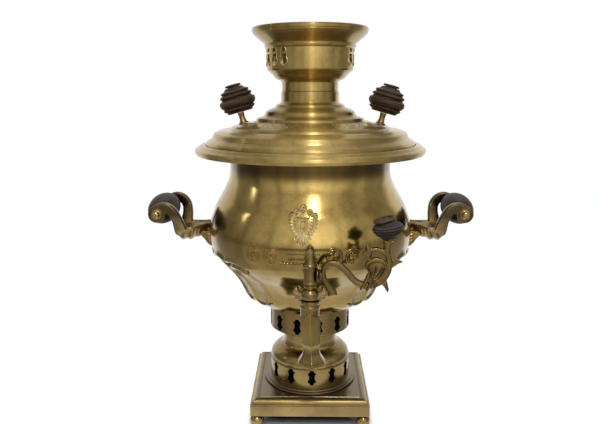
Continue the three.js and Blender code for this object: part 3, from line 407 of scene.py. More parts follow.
def brass(name, clean, tarnish, deep, rough, tarnish_share=0.5, grained=False, shade_and_dust_bands=(), brushed=0):
    """Aged brass: polish with cloudy tarnish and darker hollows, and fine turning lines or the grain of a
    casting. The bands given hold (from height, to height, share, colour) and darken the tone by height:
    painted shade on the body, the crown and the handle arms, and dust on the plinth's top"""
    n = new_material(name)
    spot = n.place()
    clouds = n.grain(spot, 16, 6, 0.62)
    stains = n.grain(spot, 55, 5, 0.65)
    specks = n.grain(spot, 240, 3, 0.6)
    streaks = n.grain(spot, 520, 2, 0.5) if grained else n.grain(n.place((6, 6, 1300)), 1, 3, 0.5)
    tone = n.mix(n.ramp(clouds, (0.38, 0), (0.66, tarnish_share)), clean, tarnish)
    tone = n.mix(n.ramp(stains, (0.46, 0), (0.7, 0.55)), tone, tarnish)
    tone = n.mix(n.ramp(specks, (0.6, 0), (0.78, 0.4)), tone, deep)
    edge = n.add("NewGeometry").outputs["Pointiness"]
    tone = n.mix(n.ramp(edge, (0.42, 0.9), (0.49, 0)), tone, deep)
    tone = n.mix(n.ramp(edge, (0.51, 0), (0.56, 0.5)), tone, clean)
    height = n.add("SeparateXYZ", {0: spot}).outputs[2]
    for low, high, share, colour in shade_and_dust_bands:
        tone = n.mix(n.rise(height, low, high, 0, share), tone, colour)
    if brushed:
        rings = n.add("Tangent", direction_type="RADIAL", axis="Z").outputs[0]
        n.wire(Anisotropic=brushed, Anisotropic_Rotation=0.25, Tangent=rings)
    level = n.math("MULTIPLY_ADD", clouds, 0.16, rough - 0.1)
    level = n.math("ADD", level, n.math("MULTIPLY", streaks, 0.06))
    bumps = n.bump(streaks, 0.00012 if grained else 0.00004, 0.5)
    bumps = n.bump(n.grain(spot, 26, 3), 0.0006, 0.2, Normal=bumps)
    return n.wire(Metallic=1, Coat_Weight=0.3, Coat_Roughness=0.1, Base_Color=tone, Roughness=level,
                  Normal=bumps)


def wood(name, dark, ridge_wear_and_highlight, dust, rough=0.55):
    """Old turned wood: dark stain, lighter brown ridges that are partly wear and partly a painted highlight,
    fine rings and grey dust
    """
    n = new_material(name)
    rings = n.grain(n.place((40, 40, 700)), 1, 4, 0.6)
    patches = n.grain(n.place(), 60, 4, 0.6)
    edge = n.add("NewGeometry").outputs["Pointiness"]
    tone = n.mix(n.ramp(rings, (0.4, 0), (0.66, 0.75)), dark, dust)
    # Convex ridges turn lighter brown in patches: partly wear, partly a painted highlight
    wear_and_highlight = n.math("MULTIPLY", n.ramp(edge, (0.505, 0), (0.55, 1)), n.ramp(patches, (0.42, 0.15), (0.62, 1)))
    return n.wire(Base_Color=n.mix(wear_and_highlight, tone, ridge_wear_and_highlight), Normal=n.bump(rings, 0.0004, 0.6), Roughness=rough,
                  Specular_IOR_Level=0.22)


def plain(name, low, high, rough, metallic, scale):
    """Soot, iron or leather: two tones in fine grain"""
    n = new_material(name)
    grain = n.grain(n.place(), scale, 5, 0.6)
    return n.wire(Base_Color=n.mix(grain, low, high), Normal=n.bump(grain, 0.0006, 0.6), Roughness=rough,
                  Metallic=metallic, Specular_IOR_Level=0.2)


POLISHED = brass("brass_polished", "b89f60", "7f6636", "3a2a12", 0.33, brushed=0.95)
# Painted shade: the neck under the brim is darkened nearly to the deep colour, and the lower body is darkened
# to dim its reflection of the floor
BODY_BRASS = brass("brass_body", "b39a5a", "80672f", "46320f", 0.17,
                   shade_and_dust_bands=((0.283, 0.299, 0.85, "46320f"), (0.238, 0.2, 0.5, "7a6435")))
# Painted shade: the crown's flare and top are darkened
CROWN_BRASS = brass("brass_crown", "b89f60", "7f6636", "3a2a12", 0.3, shade_and_dust_bands=((0.427, 0.435, 0.4, "6b5526"),),
                    brushed=0.9)
# A lighter, less tarnished brass for the raised ornament and the crown's window rims: a painted highlight for
# the light they catch
HIGHLIT_ORNAMENT = brass("brass_ornament_painted_highlight", "dcc890", "a89058", "46320f", 0.28, 0.3)
# A darker brass for the rope rows and the medals
DARK_RELIEF = brass("brass_dark_relief", "8a7038", "5e4820", "2e2312", 0.26, 0.6)
COLLAR_BRASS = brass("brass_collar", "8f7846", "6a5432", "2e2312", 0.26, 0.8)
BASE_BRASS = brass("brass_base", "a18b58", "6f5a36", "2e2312", 0.3, 0.8,
                   shade_and_dust_bands=((0.0342, 0.0348, 0.8, "645a49"),))
PEDESTAL_BRASS = brass("brass_pedestal", "9a8450", "6a5632", "2e2312", 0.22, 0.8)
# Painted shade: the band darkens the upper leaf cup and the arms above it
HANDLE_BRASS = brass("brass_handle", "957c48", "5c4824", "1c140c", 0.28, 0.8, True,
                     shade_and_dust_bands=((0.222, 0.246, 0.72, "33281a"),))
# A darker copy of the crown's brass for the crown's inner faces: painted shade
SHADED_INSIDE_BRASS = brass("brass_inside_painted_shade", "8a7240", "5c4a28", "2e2312", 0.35, 0.8)
CAST = brass("brass_cast", "a8915f", "6b5834", "251b10", 0.26, 0.7, True)
TAP_BRASS = brass("brass_tap", "94804a", "64502a", "1c140c", 0.22, 0.8, True)
DARK_CAST = brass("brass_dark_cast", "7b6536", "4c3c24", "1c140c", 0.28, 0.9, True)
WOOD = wood("wood_knob", "2c2018", "8a6a42", "4c3c2e")
ROLLER_WOOD = wood("wood_roller", "241b15", "5b452c", "33291f")
GREY_WOOD = wood("wood_grey", "35302e", "5a534c", "4a4542", 0.65)
TAN_WOOD = wood("wood_tan", "3a2e22", "8a7350", "665438", 0.6)
# Soot for the fire tube, ash pan, grate, pedestal and collar; on the plinth's inner and under faces the same
# black is painted shade
SOOT_AND_SHADE = plain("soot", "070504", "17110d", 0.95, 0, 90)
IRON = plain("iron", "3a3634", "5b5551", 0.55, 0.8, 120)
LEATHER = plain("leather_ring", "4a3222", "6f4e33", 0.8, 0, 200)


def soot_and_shade_inside(piece, material=SOOT_AND_SHADE, under=False):
    """Soot or a darker brass on the faces of a hollow turned piece that look at its axis, or down as well:
    soot in the pedestal and the collar, painted shade inside the plinth and the crown
    """
    toward = -0.35
    piece.data.materials.append(material)
    for polygon in piece.data.polygons:
        away = Vector((polygon.center.x, polygon.center.y - AXIS_Y * MM, 0))
        facing = away.length > 1e-6 and polygon.normal.dot(away.normalized()) < toward
        if facing or under and polygon.normal.z < toward:
            polygon.material_index = 1


# Feet and square plinth
def feet():
    radius, shoulder, rest, place = 8.2, 4.4, 3.4, 61.2
    centre = math.sqrt(radius ** 2 - rest ** 2)
    low, high = -math.acos(rest / radius), math.acos(shoulder / radius)
    ball = [(radius * math.cos(a), max(centre + radius * math.sin(a), 0))
            for a in (between(low, high, i / 24) for i in range(25))]
    outline = [(0, 0), *ball, (shoulder, FOOT_TOP - GAP), (0, FOOT_TOP - GAP)]
    for end, y in (("front", -1), ("back", 1)):
        for side, x in (("left", -1), ("right", 1)):
            turned_piece(f"ball_foot_{end}_{side}", outline, PEDESTAL_BRASS, "vessel", "dark_brass",
                         f"foot_{end}_{side}", sides=SMALL, place=at(x * place, AXIS_Y + y * place))


def square_ring(half, height):
    """A square with rounded corners, counter-clockwise seen from above"""
    radius, steps = 1.1, 5
    ring = []
    for quarter, (x, y) in enumerate(((1, 1), (-1, 1), (-1, -1), (1, -1))):
        for i in range(steps + 1):
            angle = math.pi / 2 * quarter + math.pi / 2 * i / steps
            ring.append(((half - radius) * x + radius * math.cos(angle),
                         (half - radius) * y + radius * math.sin(angle) + AXIS_Y, height))
    return ring


def plinth():
    half, shelf, panel, wall, hole = 68.2, 65.8, 59.4, 3.2, 38
    moulding = [(between(shelf, panel, 1 - math.cos(a)), between(SLAB_TOP + 0.6, PANEL_Z, math.sin(a)))
                for a in (math.pi / 2 * i / 8 for i in range(9))]
    outline = filleted([
        (half - wall, FOOT_TOP), (half, FOOT_TOP, 0.6), *raised(SLAB_TOP, [
            (half, -1.9, 0.3), (half - 0.7, -1.6, 0.1), (half, -1.2, 0.5), (half, -0.2, 0.5),
            (half - 0.9, 0.1, 0.2), (shelf + 0.3, 0, 0.2), (shelf + 0.2, 0.6),
        ]), *moulding, (panel - 0.3, PANEL_Z - 0.5), (panel - 1, PANEL_Z - 0.5), (panel - 1.4, PANEL_Z),
    ])
    rings = [square_ring(reach, z) for reach, z in outline]
    angles = [math.atan2(y - AXIS_Y, x) for x, y, _ in rings[-1]]
    rings += [[(hole * math.cos(a), AXIS_Y + hole * math.sin(a), z) for a in angles]
              for z in (PANEL_Z, PANEL_Z - wall)]
    rings += [square_ring(panel - wall, PANEL_Z - wall), square_ring(half - wall, SLAB_TOP - wall)]
    piece = weighted(new_piece("square_plinth", *loft(rings, True), BASE_BRASS))
    # The plinth's inner and under faces are soot-black: painted shade
    soot_and_shade_inside(piece, under=True)
    finish_piece(piece, "vessel", "dark_brass", "plinth")


def base_flange():
    inner, outer = 47.75, 55.6
    outline = raised(PANEL_Z + GAP, [
        (inner, 0), (outer, 0, 0.3), (outer, 2.3, 1.1), (52.3, 2.3, 0.2), (51.9, 3.6, 0.6), (49.8, 3.8, 0.8),
        (inner, 4),
    ])
    turned_piece("base_ring", outline, BASE_BRASS, "vessel", "brass", "base_flange")


# Pierced bands
def window_cutter(points, radius, azimuth, lift, depth):
    """A prism of an outline through a turned wall at an azimuth from the front"""
    c, s = math.cos(math.radians(azimuth)), math.sin(math.radians(azimuth))
    return loft([[(x * c + reach * s, x * s - reach * c + AXIS_Y, lift + z) for x, z in points]
                 for reach in (radius - depth, radius + depth / 2)])


def cartouche_ring(radius, lift, turn):
    """Twelve cutters for cartouches: round lobes at the ends, cusps at the shoulders and a narrow waist"""
    shape = mirrored_outline([
        (0, -0.5), (0.32, -0.49), (0.48, -0.45), (0.5, -0.38), (0.64, -0.355), (0.68, -0.32), (1, -0.3),
        (0.86, -0.2), (0.66, -0.06), (0.62, 0.02), (0.68, 0.12), (0.88, 0.24), (1, 0.3), (0.68, 0.34),
        (0.64, 0.365), (0.5, 0.39), (0.48, 0.45), (0.32, 0.49), (0, 0.5),
    ], 10.4, 18.6)
    return [window_cutter(shape, radius, turn + 30 * i, lift, 9) for i in range(12)]


def pedestal():
    radius, neck, wall = 48, 31.6, 1.6
    foot, drum_top, top = PANEL_Z + GAP, 62.6, COLLAR_Z - GAP
    cone = catmull([(47, drum_top + 0.9), (47.2, 65.6), (46.6, 68.6), (44.4, 72.4), (40.2, 76), (35.4, 78.6),
                    (32.7, 81.4), (neck, 86)], 5)
    piece = lathe("pedestal_shell", [
        (radius - wall, foot), (radius, foot), (radius, drum_top - 1, 0.4),
        (radius + 0.3, drum_top - 0.5, 0.2), (radius, drum_top, 0.3), (radius - 0.6, drum_top + 0.3), *cone,
        (neck, top), (neck - wall, top),
        *((r - wall, z - wall * 0.8) for r, z in cone[::-3]), (radius - wall, drum_top - 3),
    ], PEDESTAL_BRASS)
    cut(piece, cartouche_ring(radius, PANEL_Z + 17.6, 2.7))
    soot_and_shade_inside(piece, under=True)
    finish_piece(piece, "vessel", "brass", "pedestal")
    pan = raised(ASH_Z, [(0.01, 0), (44.4, 0), (45.4, 0.6, 0.3), (45.4, 3, 0.3), (44.6, 3, 0.3),
                         (44.6, 1, 0.4), (0.01, 1)])
    turned_piece("ash_pan", pan, SOOT_AND_SHADE, "vessel", "dark_brass", sides=FINE)


def air_collar():
    radius, inner, wall = 47.5, 30, 1.6
    low, top = COLLAR_Z, BODY_Z - GAP
    piece = lathe("pierced_collar", [
        (inner, low), (radius - 0.6, low, 0.3), (radius + 0.4, low + 0.8, 0.5), (radius, low + 1.8, 0.3),
        (radius, top - 0.4), (radius - 0.3, top), (radius - wall, top), (radius - wall, low + wall),
        (inner, low + wall),
    ], COLLAR_BRASS)
    cut(piece, cartouche_ring(radius, low + 11.4, 12))
    soot_and_shade_inside(piece)
    for polygon in piece.data.polygons:
        x, y, z = polygon.center / MM
        if math.hypot(x, y - AXIS_Y) < radius - wall * 0.9 and z > low + 0.6:
            polygon.material_index = 1
    finish_piece(piece, "vessel", "brass", "air_collar")


# Body
BODY_PROFILE = catmull([
    (47.9, 131), (51.5, 131.9), (56.3, 133.6), (62, 137), (69, 142.5), (73.8, 149), (77, 156), (80.5, 163),
    (85.5, 170), (91, 176.5), (97.5, 182.5), (103.5, 188.5), (109, 194.5), (113, 201), (115.5, 208),
    (117, 216), (117.3, 224), (116, 232.5), (113.3, 241), (107.8, 254.6), (102.4, 263.6), (97.6, 272.6),
    (93.6, 281.7), (91.9, 290), (91.7, 300), (91.7, 316),
], 8)
PETAL_START, PETAL_PITCH, PETALS = 34, 16.4, 7
PETAL_TIP = 142.5


def body_radius(height):
    """Outer radius of the plain body at a height"""
    for (r0, z0), (r1, z1) in zip(BODY_PROFILE, BODY_PROFILE[1:]):
        if z0 <= height <= z1:
            return between(r0, r1, (height - z0) / (z1 - z0))
    return BODY_PROFILE[0][0] if height < BODY_PROFILE[0][1] else BODY_PROFILE[-1][0]


def fold_height(aside):
    """Height of the scalloped groove over the lobes at an azimuth aside from the front"""
    scallop = abs(math.sin(math.pi * (aside - 38.5) / PETAL_PITCH))
    return 192.2 + 3.8 * scallop ** 0.8 - 4 * smooth_step(58, 95, aside) + 2 * smooth_step(40, 56, aside)


def petal_relief(azimuth, height):
    """How far the lobes and the fold move the skin out at a place"""
    aside = abs(azimuth)
    end = PETAL_START + PETAL_PITCH * PETALS
    if aside < PETAL_START - 5 or aside > end + 5:
        return 0
    along = aside - 9.5 * smooth_step(174, 197, height) - 3 * (1 - smooth_step(140, 156, height))
    inside = (smooth_step(PETAL_START - 1.6, PETAL_START + 1.6, along)
              * (1 - smooth_step(end - 4, end + 4, aside)))
    across = abs(2 * (((along - PETAL_START) / PETAL_PITCH) % 1) - 1)
    tip = PETAL_TIP + 7 * across ** 2.6
    started = smooth_step(tip - 1.6, tip + 1.8, height)
    top = fold_height(aside)
    ridge, rim = bell(1 - across, 0.2), bell(height - tip - 2.6, 1.7)
    swell = 3.4 * started * (1 - smooth_step(158, 192, height))
    border = 1.5 * max(ridge, 0.8 * rim) - 1.5 * (1 - max(ridge, rim)) * (1 - across ** 2)
    relief = inside * (swell + started * (1 - smooth_step(top - 12, top - 1, height)) * border)
    edge = bell(along - PETAL_START + 0.6, 1.5)
    relief += edge * smooth_step(143, 150, height) * (1 - smooth_step(184, 194, height))
    above = height - top
    groove = -2.7 * bell(above, 1.9)
    fold = 3.1 * bell(above - 4.6, 3.4) * smooth_step(38, 62, aside)
    roll = 1.2 * bell(above + 5, 3)
    fade = smooth_step(PETAL_START + 1.5, PETAL_START + 5, aside) * (1 - smooth_step(end - 6, end + 4, aside))
    return relief + fade * (groove + fold + roll)


def body_shell():
    sides, lobe_rows, neck_rows = 600, 112, 44
    wall, floor_z, lobes_top, crease = 3.6, 134, 208, math.radians(60)
    azimuths = [(360 * j / sides + 180) % 360 - 180 for j in range(sides)]
    heights = [between(BODY_Z, lobes_top, i / lobe_rows) for i in range(lobe_rows)]
    heights += [between(lobes_top, MOUTH_Z, i / neck_rows) for i in range(neck_rows + 1)]
    inner = [(90.1, MOUTH_Z), (90.1, 296), (91, 284),
             *((body_radius(z) - wall, z) for z in range(276, 140, -8)),
             (54, floor_z), (36.2, floor_z), (36.2, BODY_Z)]
    rings = [[around(body_radius(z) + petal_relief(a, z), math.radians(a), z) for a in azimuths]
             for z in heights]
    rings += [[around(radius, math.radians(a), z) for a in azimuths] for radius, z in inner]
    piece = new_piece("lobed_body", *loft(rings, True), BODY_BRASS)
    tidy(piece, crease)
    finish_piece(piece, "vessel", "brass", "body_shell")


# Low relief on the front: lines in millimetres across from the middle and up, laid on the body
def relief(strokes, turn, width=1, height=1):
    """Half-round ridges along strokes of (points, half width, height); a point is across, up and, at will,
    a scale of the width"""
    return [relief_line(points, half * width, high * height, math.radians(turn))
            for points, half, high in strokes]


def relief_line(points, half, high, turn):
    rings = []
    for (across, up, *scale), (back, ahead) in zip(points, neighbours(points)):
        wide = scale[0] if scale else 1
        side = Vector((-(ahead[1] - back[1]), ahead[0] - back[0])).normalized()
        ring = []
        for share, lift in ((-1, -0.5), (-0.8, 0.55), (0, 1), (0.8, 0.55), (1, -0.5)):
            x, z = across + side.x * share * half * wide, up + side.y * share * half * wide
            radius = body_radius(z)
            ring.append(around(radius + lift * high * (0.5 + 0.5 * wide), turn + x / radius, z))
        rings.append(ring)
    return loft(rings)


def leaf_stroke(start, end, bow, wide=1):
    """A tapered stroke from start to end, bowed to one side"""
    (x0, z0), (x1, z1) = start, end
    dx, dz = x1 - x0, z1 - z0
    found = []
    for t in (i / 6 for i in range(7)):
        push = bow * math.sin(math.pi * t)
        found.append((x0 + dx * t - dz * push, z0 + dz * t + dx * push,
                      wide * (0.35 + 0.9 * math.sin(math.pi * (0.15 + 0.8 * t)))))
    return found


def oval(z, wide, tall, steps=20):
    """A closed line around a place in the middle"""
    return [(wide * math.sin(a), z + tall * math.cos(a)) for a in turns(steps) + [0]]


def palmette():
    """A generic ornament: an oval boss between two leafy sprays, buds over it and a fan of leaves below"""
    boss = 249.5
    strokes = [(oval(boss, 4.4, 6), 0.8, 0.8), (oval(boss, 2.2, 3.4), 0.7, 0.8)]
    for a in turns(8):
        spoke = [(x * math.sin(a), boss + z * math.cos(a)) for x, z in ((2.9, 4.2), (3.5, 5))]
        strokes.append((spoke, 0.5, 0.6))
    for x, z, size in ((0, 264.6, 1), (-6.6, 261.6, 0.8), (6.6, 261.6, 0.8)):
        bud = (x, z - 4.6 * size), (x, z + 3.8 * size)
        strokes += [(leaf_stroke(*bud, 0.34, 1.1), 0.8, 0.8), (leaf_stroke(*bud, -0.34, 1.1), 0.8, 0.8),
                    (leaf_stroke((x, z - 1.5 * size), (x, z + 1.6 * size), 0, 1.3), 0.8, 0.9)]
    for side in (-1, 1):
        stem = catmull([(side * x, z) for x, z in ((0.6, 238), (5, 240.2), (8.9, 245), (10.6, 251),
                                                   (10.4, 256.6), (8.4, 260.4))], 4)
        strokes.append((stem, 0.75, 0.9))
        for i in range(2, len(stem) - 1, 2):
            x, z = stem[i]
            ahead = Vector((stem[i + 1][0] - x, stem[i + 1][1] - z)).normalized()
            out = Vector((side * abs(ahead.y) + side * 0.2, 0.75 - abs(ahead.x))).normalized()
            reach = 5.2 - 1.6 * abs(i / len(stem) - 0.5)
            outer, inner = (x + out.x * reach, z + out.y * reach), (x - out.x * 3, z + out.y * 2.2)
            strokes += [(leaf_stroke((x, z), outer, side * 0.15, 1.25), 0.85, 0.85),
                        (leaf_stroke((x, z), inner, -side * 0.15), 0.65, 0.7)]
        for x, z in ((2.4, 230.6), (5.6, 232.2), (8.2, 235.4)):
            strokes.append((leaf_stroke((side * 0.4, 240), (side * x, z), side * 0.12, 1.3), 0.85, 0.85))
        strokes.append((leaf_stroke((side * 1.6, 256.2), (side * 6.6, 257), -side * 0.3, 1.1), 0.75, 0.8))
    return strokes + [(leaf_stroke((0, 243), (0, 229.4), 0, 1.4), 0.85, 0.9)]


def rope_rows():
    """Rope, bead and sprig lines under the ornament"""
    strokes = []
    pitch = 1.9
    for half, z, kind in ((26.8, 226, "rope"), (17, 220.9, "bead"), (15, 215.9, "rope"),
                          (23.6, 211.3, "sprig")):
        count = round(2 * half / pitch)
        for i in range(count):
            x = between(-half, half, (i + 0.5) / count)
            lean = 1 if i % 2 else -1
            strokes.append(({
                "rope": [(x - 0.7, z - 0.9, 0.8), (x, z, 1.2), (x + 0.7, z + 0.9, 0.8)],
                "bead": [(x - 0.6, z, 0.7), (x, z, 1.6), (x + 0.6, z, 0.7)],
                "sprig": [(x - 0.7, z, 0.8), (x, z + 0.6 * lean, 1.3), (x + 0.8, z + 1.1 * lean, 0.5)],
            }[kind], 0.62, 1))
        if kind != "bead":
            strokes.append(([(between(-half, half, i / 24), z - 1.5) for i in range(25)], 0.4, 0.7))
    return strokes


def rosette(z):
    """A plain medal: two rings round a six-petalled flower"""
    tall = 8
    strokes = [(oval(z, tall * 0.93, tall, 40), 0.7, 0.75),
               (oval(z, tall * 0.66, tall * 0.72, 32), 0.5, 0.55)]
    for a in turns(6):
        x, tip = tall * 0.5 * math.sin(a), z + tall * 0.55 * math.cos(a)
        for bow in (0.22, -0.22):
            strokes.append((leaf_stroke((0.12 * x, between(z, tip, 0.12)), (x, tip), bow), 0.75, 0.75))
    return strokes


def front_relief():
    rows = relief(rope_rows(), -3.4)
    for azimuth, z in ((-30.1, 216.9), (-20.4, 216.9), (11.6, 219.1), (21.6, 217)):
        rows += relief(rosette(z), azimuth)
    ornament = relief(palmette(), -3.6, 1.15, 1.25)
    finish_piece(new_piece("front_ornament", *merged(*ornament), HIGHLIT_ORNAMENT), "vessel", "brass")
    finish_piece(new_piece("front_rows", *merged(*rows), DARK_RELIEF), "vessel", "brass")


def fire_tube():
    top = CROWN_Z + 5
    outline = [(30.4, 131.25), (36, 131.25), (36, 137), (27, MOUTH_Z), (27, top), (25.4, top),
               (25.4, MOUTH_Z), (34.4, 137), (34.4, 133), (30.4, 133)]
    turned_piece("chimney_tube", outline, SOOT_AND_SHADE, "vessel", "dark_brass", "fire_tube", sides=FINE)


# Brim, lid and crown
def rim_ring():
    outline = [
        (88.5, 316.25), (93.3, 316.25, 0.3), (94.9, 317.4, 0.4), (118, 317.4, 2), (122.3, 318.4, 1.5),
        (126.2, 315.2, 1.2), (126.2, 311, 0.8), (127.3, 310.1, 0.8), (129.4, 310.3, 1.6), (131.1, 313.4, 2.4),
        (130.4, 316.4, 1.4), (129, 317.3, 0.5), (127.3, 318.2, 0.8), (125, 320.3, 1.2), (124, 320.9, 0.5),
        (121.2, 321, 0.6), (119.7, 320.8, 0.4), (119.4, 320.2), (119.4, 319.2), (88.5, 319.2),
    ]
    turned_piece("brim_ring", outline, POLISHED, "vessel", "brass", "rim_ring")


LID_BAND = (84, 341.5), (62, 346.85)


def lid():
    (r0, z0), (r1, z1) = LID_BAND
    band = [(between(r0, r1, i / 8), between(z0, z1, i / 8)) for i in range(9)]
    outline = [
        (118.7, LID_Z), (118.7, 322.3, 0.5), (118.3, 323, 0.4), (117.3, 324.5, 0.8), (114.4, 326.3, 1.5),
        (111.4, 328.1, 1), (110.4, 330.2, 1.2), (109.9, 332.3, 0.8), (109, 333.7, 0.8), (105.6, 335.2, 1.5),
        (101.5, 336.8, 1.5), (95.9, 337.5, 1.2), (91.4, 337.3, 0.3), (90.8, 338.6, 0.4), (90, 339.7, 0.5),
        (87.3, 341.2, 0.8), (85.2, 341.7, 0.4), (84.7, 341.3, 0.2), *band,
        (61.6, 347.3, 0.2), (61.2, 348.6, 0.4), (60.2, 349.8, 0.6), (57.1, 350.9, 1), (54.6, 351.5, 0.6),
        (52.9, 352.4, 0.5), (51.5, 354, 1), (50.9, 355.8, 0.8), (50, 357.2, 0.8), (47.6, 358.9, 1.2),
        (43.6, 360.5, 1.5), (40.6, 361.3, 0.5), (39.2, 362.6, 0.5), (38.2, 364.4, 0.6), (35.6, 365.9, 0.8),
        (33.6, 366.9, 0.5), (32.7, 368.2, 0.4), (32.7, 378.9, 0.3), (32.4, 379.05), (31.1, 379.05),
        (31.1, 366), (38, 359.6), (45.9, 356.9), (49.7, 351.8), (56.9, 347.6), (62.1, 345), (85.6, 339),
        (88.9, 335.7), (100, 334.5), (107.6, 331.1), (109.8, 326), (115.6, 321), (86.3, 321), (86.3, 313.5),
        (87.9, 313.5), (87.9, LID_Z),
    ]
    turned_piece("domed_lid", outline, POLISHED, "lid", "brass", "lid")


def lid_vine():
    """A running vine in low relief round the lid's band, between the stems of the knobs"""
    (r0, z0), (r1, z1) = LID_BAND
    tilt = math.atan2(z1 - z0, r0 - r1)
    # Millimetres across the band and along a degree of it
    broad, degree = 22, 1.27
    # Degrees from stem to stem, and leaves of the vine on each side of its wave
    span, leaves = 152, 10

    def ridge(points, half, high):
        """A ridge along points of (azimuth, share of the way across the band)"""
        rings = []
        for (azimuth, share), (back, ahead) in zip(points, neighbours(points)):
            across = Vector(((back[1] - ahead[1]) * broad, (ahead[0] - back[0]) * degree)).normalized()
            ring = []
            for offset, lift in ((-1, -0.4), (-0.7, 0.7), (0.7, 0.7), (1, -0.4)):
                angle = math.radians(azimuth + across.x * offset * half / degree)
                place = share + across.y * offset * half / broad
                ring.append(around(between(r0, r1, place) + lift * high * math.sin(tilt), angle,
                                   between(z0, z1, place) + lift * high * math.cos(tilt)))
            rings.append(ring)
        return loft(rings)

    parts = []
    for start in (-76, 104):
        wave = [(start + span * i / 240, 0.5 + 0.2 * math.sin(2 * math.pi * i / 24)) for i in range(241)]
        parts.append(ridge(wave, 0.5, 0.5))
        for i in range(leaves):
            for side in (-1, 1):
                foot = start + span * (i + (0.25 if side > 0 else 0.75)) / leaves
                for lean in (-1, 0, 1):
                    tip = (foot + lean * 3, 0.5 - side * (0.3 - 0.07 * abs(lean)))
                    half_way = (between(foot, tip[0], 0.5), between(0.5, tip[1], 0.6))
                    parts.append(ridge([(foot, 0.5 - side * 0.02), half_way, tip], 0.55, 0.45))
        for share in (0.1, 0.9):
            parts.append(ridge([(start + span * i / 120, share) for i in range(121)], 0.3, 0.3))
    finish_piece(new_piece("lid_vine", *merged(*parts), POLISHED), "lid", "brass")


def window_frame(points, radius, azimuth, lift):
    """A raised rim around an opening in a turned wall"""
    cx, cz = middle(points)
    rings = []
    for out, up in ((0.05, -0.6), (0.05, 0.36), (0.2625, 0.45), (0.6, 0.2475), (0.75, -0.6)):
        ring = []
        for x, z in points:
            away = Vector((x - cx, z - cz)).normalized() * out
            ring.append(around(radius + up, math.radians(azimuth) + (x + away.x) / radius, lift + z + away.y))
        rings.append(ring)
    return loft(rings, True)


def crown():
    z = CROWN_Z
    piece = lathe("pierced_crown", [
        (28.9, z - 6), (30.4, z - 6), (30.4, z), (31.4, z, 0.2), (31.7, z + 0.4, 0.2), (31.7, 388.9, 0.4),
        (32.4, 389.9, 0.4), (33.8, 391.1, 0.6), (37.2, 392.2, 1.5), (40, 394.6, 2), (42.2, 397.4, 3),
        (45.6, 400.4, 1.2), (47.4, 401.6, 0.6), (48.2, 403, 0.6), (48.4, 407.5, 1), (48.8, 414.9, 2),
        (49, 425.2, 0.4), (50.5, 426.7, 0.6), (51.4, 428.3, 0.7), (50.8, 429.6, 0.4), (50.9, 430.3, 0.3),
        (52, 431.4, 0.5), (54.6, 433.6, 3), (57.6, 436, 5), (61.1, 439, 5), (63.2, 441.3, 1.5),
        (64, 442.4, 0.4), (63.8, 443.2, 0.3), (64.5, 443.9, 0.3), (64.6, 446.4, 0.8), (63.6, TOP_Z, 0.5),
        (61.4, TOP_Z, 0.5), (60.7, 444.2, 1.5), (56, 438.8, 4), (50, 433.8, 2), (47.3, 429, 1),
        (46.4, 404.6, 1), (44.4, 402.1, 1), (35.5, 393.8, 1.5), (30.1, 390.7, 1), (30.1, z + 1.6), (28.9, z),
    ], CROWN_BRASS)
    # A rounded point below, a full belly and a stepped shoulder under a flat top, and a small arch above
    vase = mirrored_outline([
        (0, -0.5), (0.22, -0.48), (0.45, -0.42), (0.66, -0.32), (0.92, -0.24), (1, -0.12), (0.96, 0.02),
        (0.84, 0.1), (0.74, 0.14), (0.72, 0.24), (0.8, 0.3), (0.8, 0.5), (0.4, 0.5), (0, 0.5),
    ], 8.9, 12.2)
    arch = [(-2.9, 0), (2.9, 0), *((2.9 * math.cos(a), 4.2 * math.sin(a) ** 0.8)
                                   for a in (math.pi * i / 10 for i in range(1, 10)))]
    pitch = 16.36
    # A narrow slot in the upper edge, on the left of the front
    notch = [(-1.2, 445.2), (1.2, 445.2), (1.2, 449), (-1.2, 449)]
    cutters, frames = [], []
    for i in range(7):
        for azimuth in (-35 - i * pitch, 63.2 + i * pitch):
            for window, lift, skin in ((vase, 412.9, 48.7), (arch, 421.1, 48.9)):
                cutters.append(window_cutter(window, 49, azimuth, lift, 5))
                frames.append(window_frame(window, skin, azimuth, lift))
    cut(piece, cutters + [window_cutter(notch, 64, -41, 0, 4)])
    # The crown's inner faces take a darker brass: painted shade
    soot_and_shade_inside(piece, SHADED_INSIDE_BRASS)
    finish_piece(new_piece("crown_window_rims", *merged(*frames), HIGHLIT_ORNAMENT), "crown", "brass")
    finish_piece(piece, "crown", "brass", "crown")


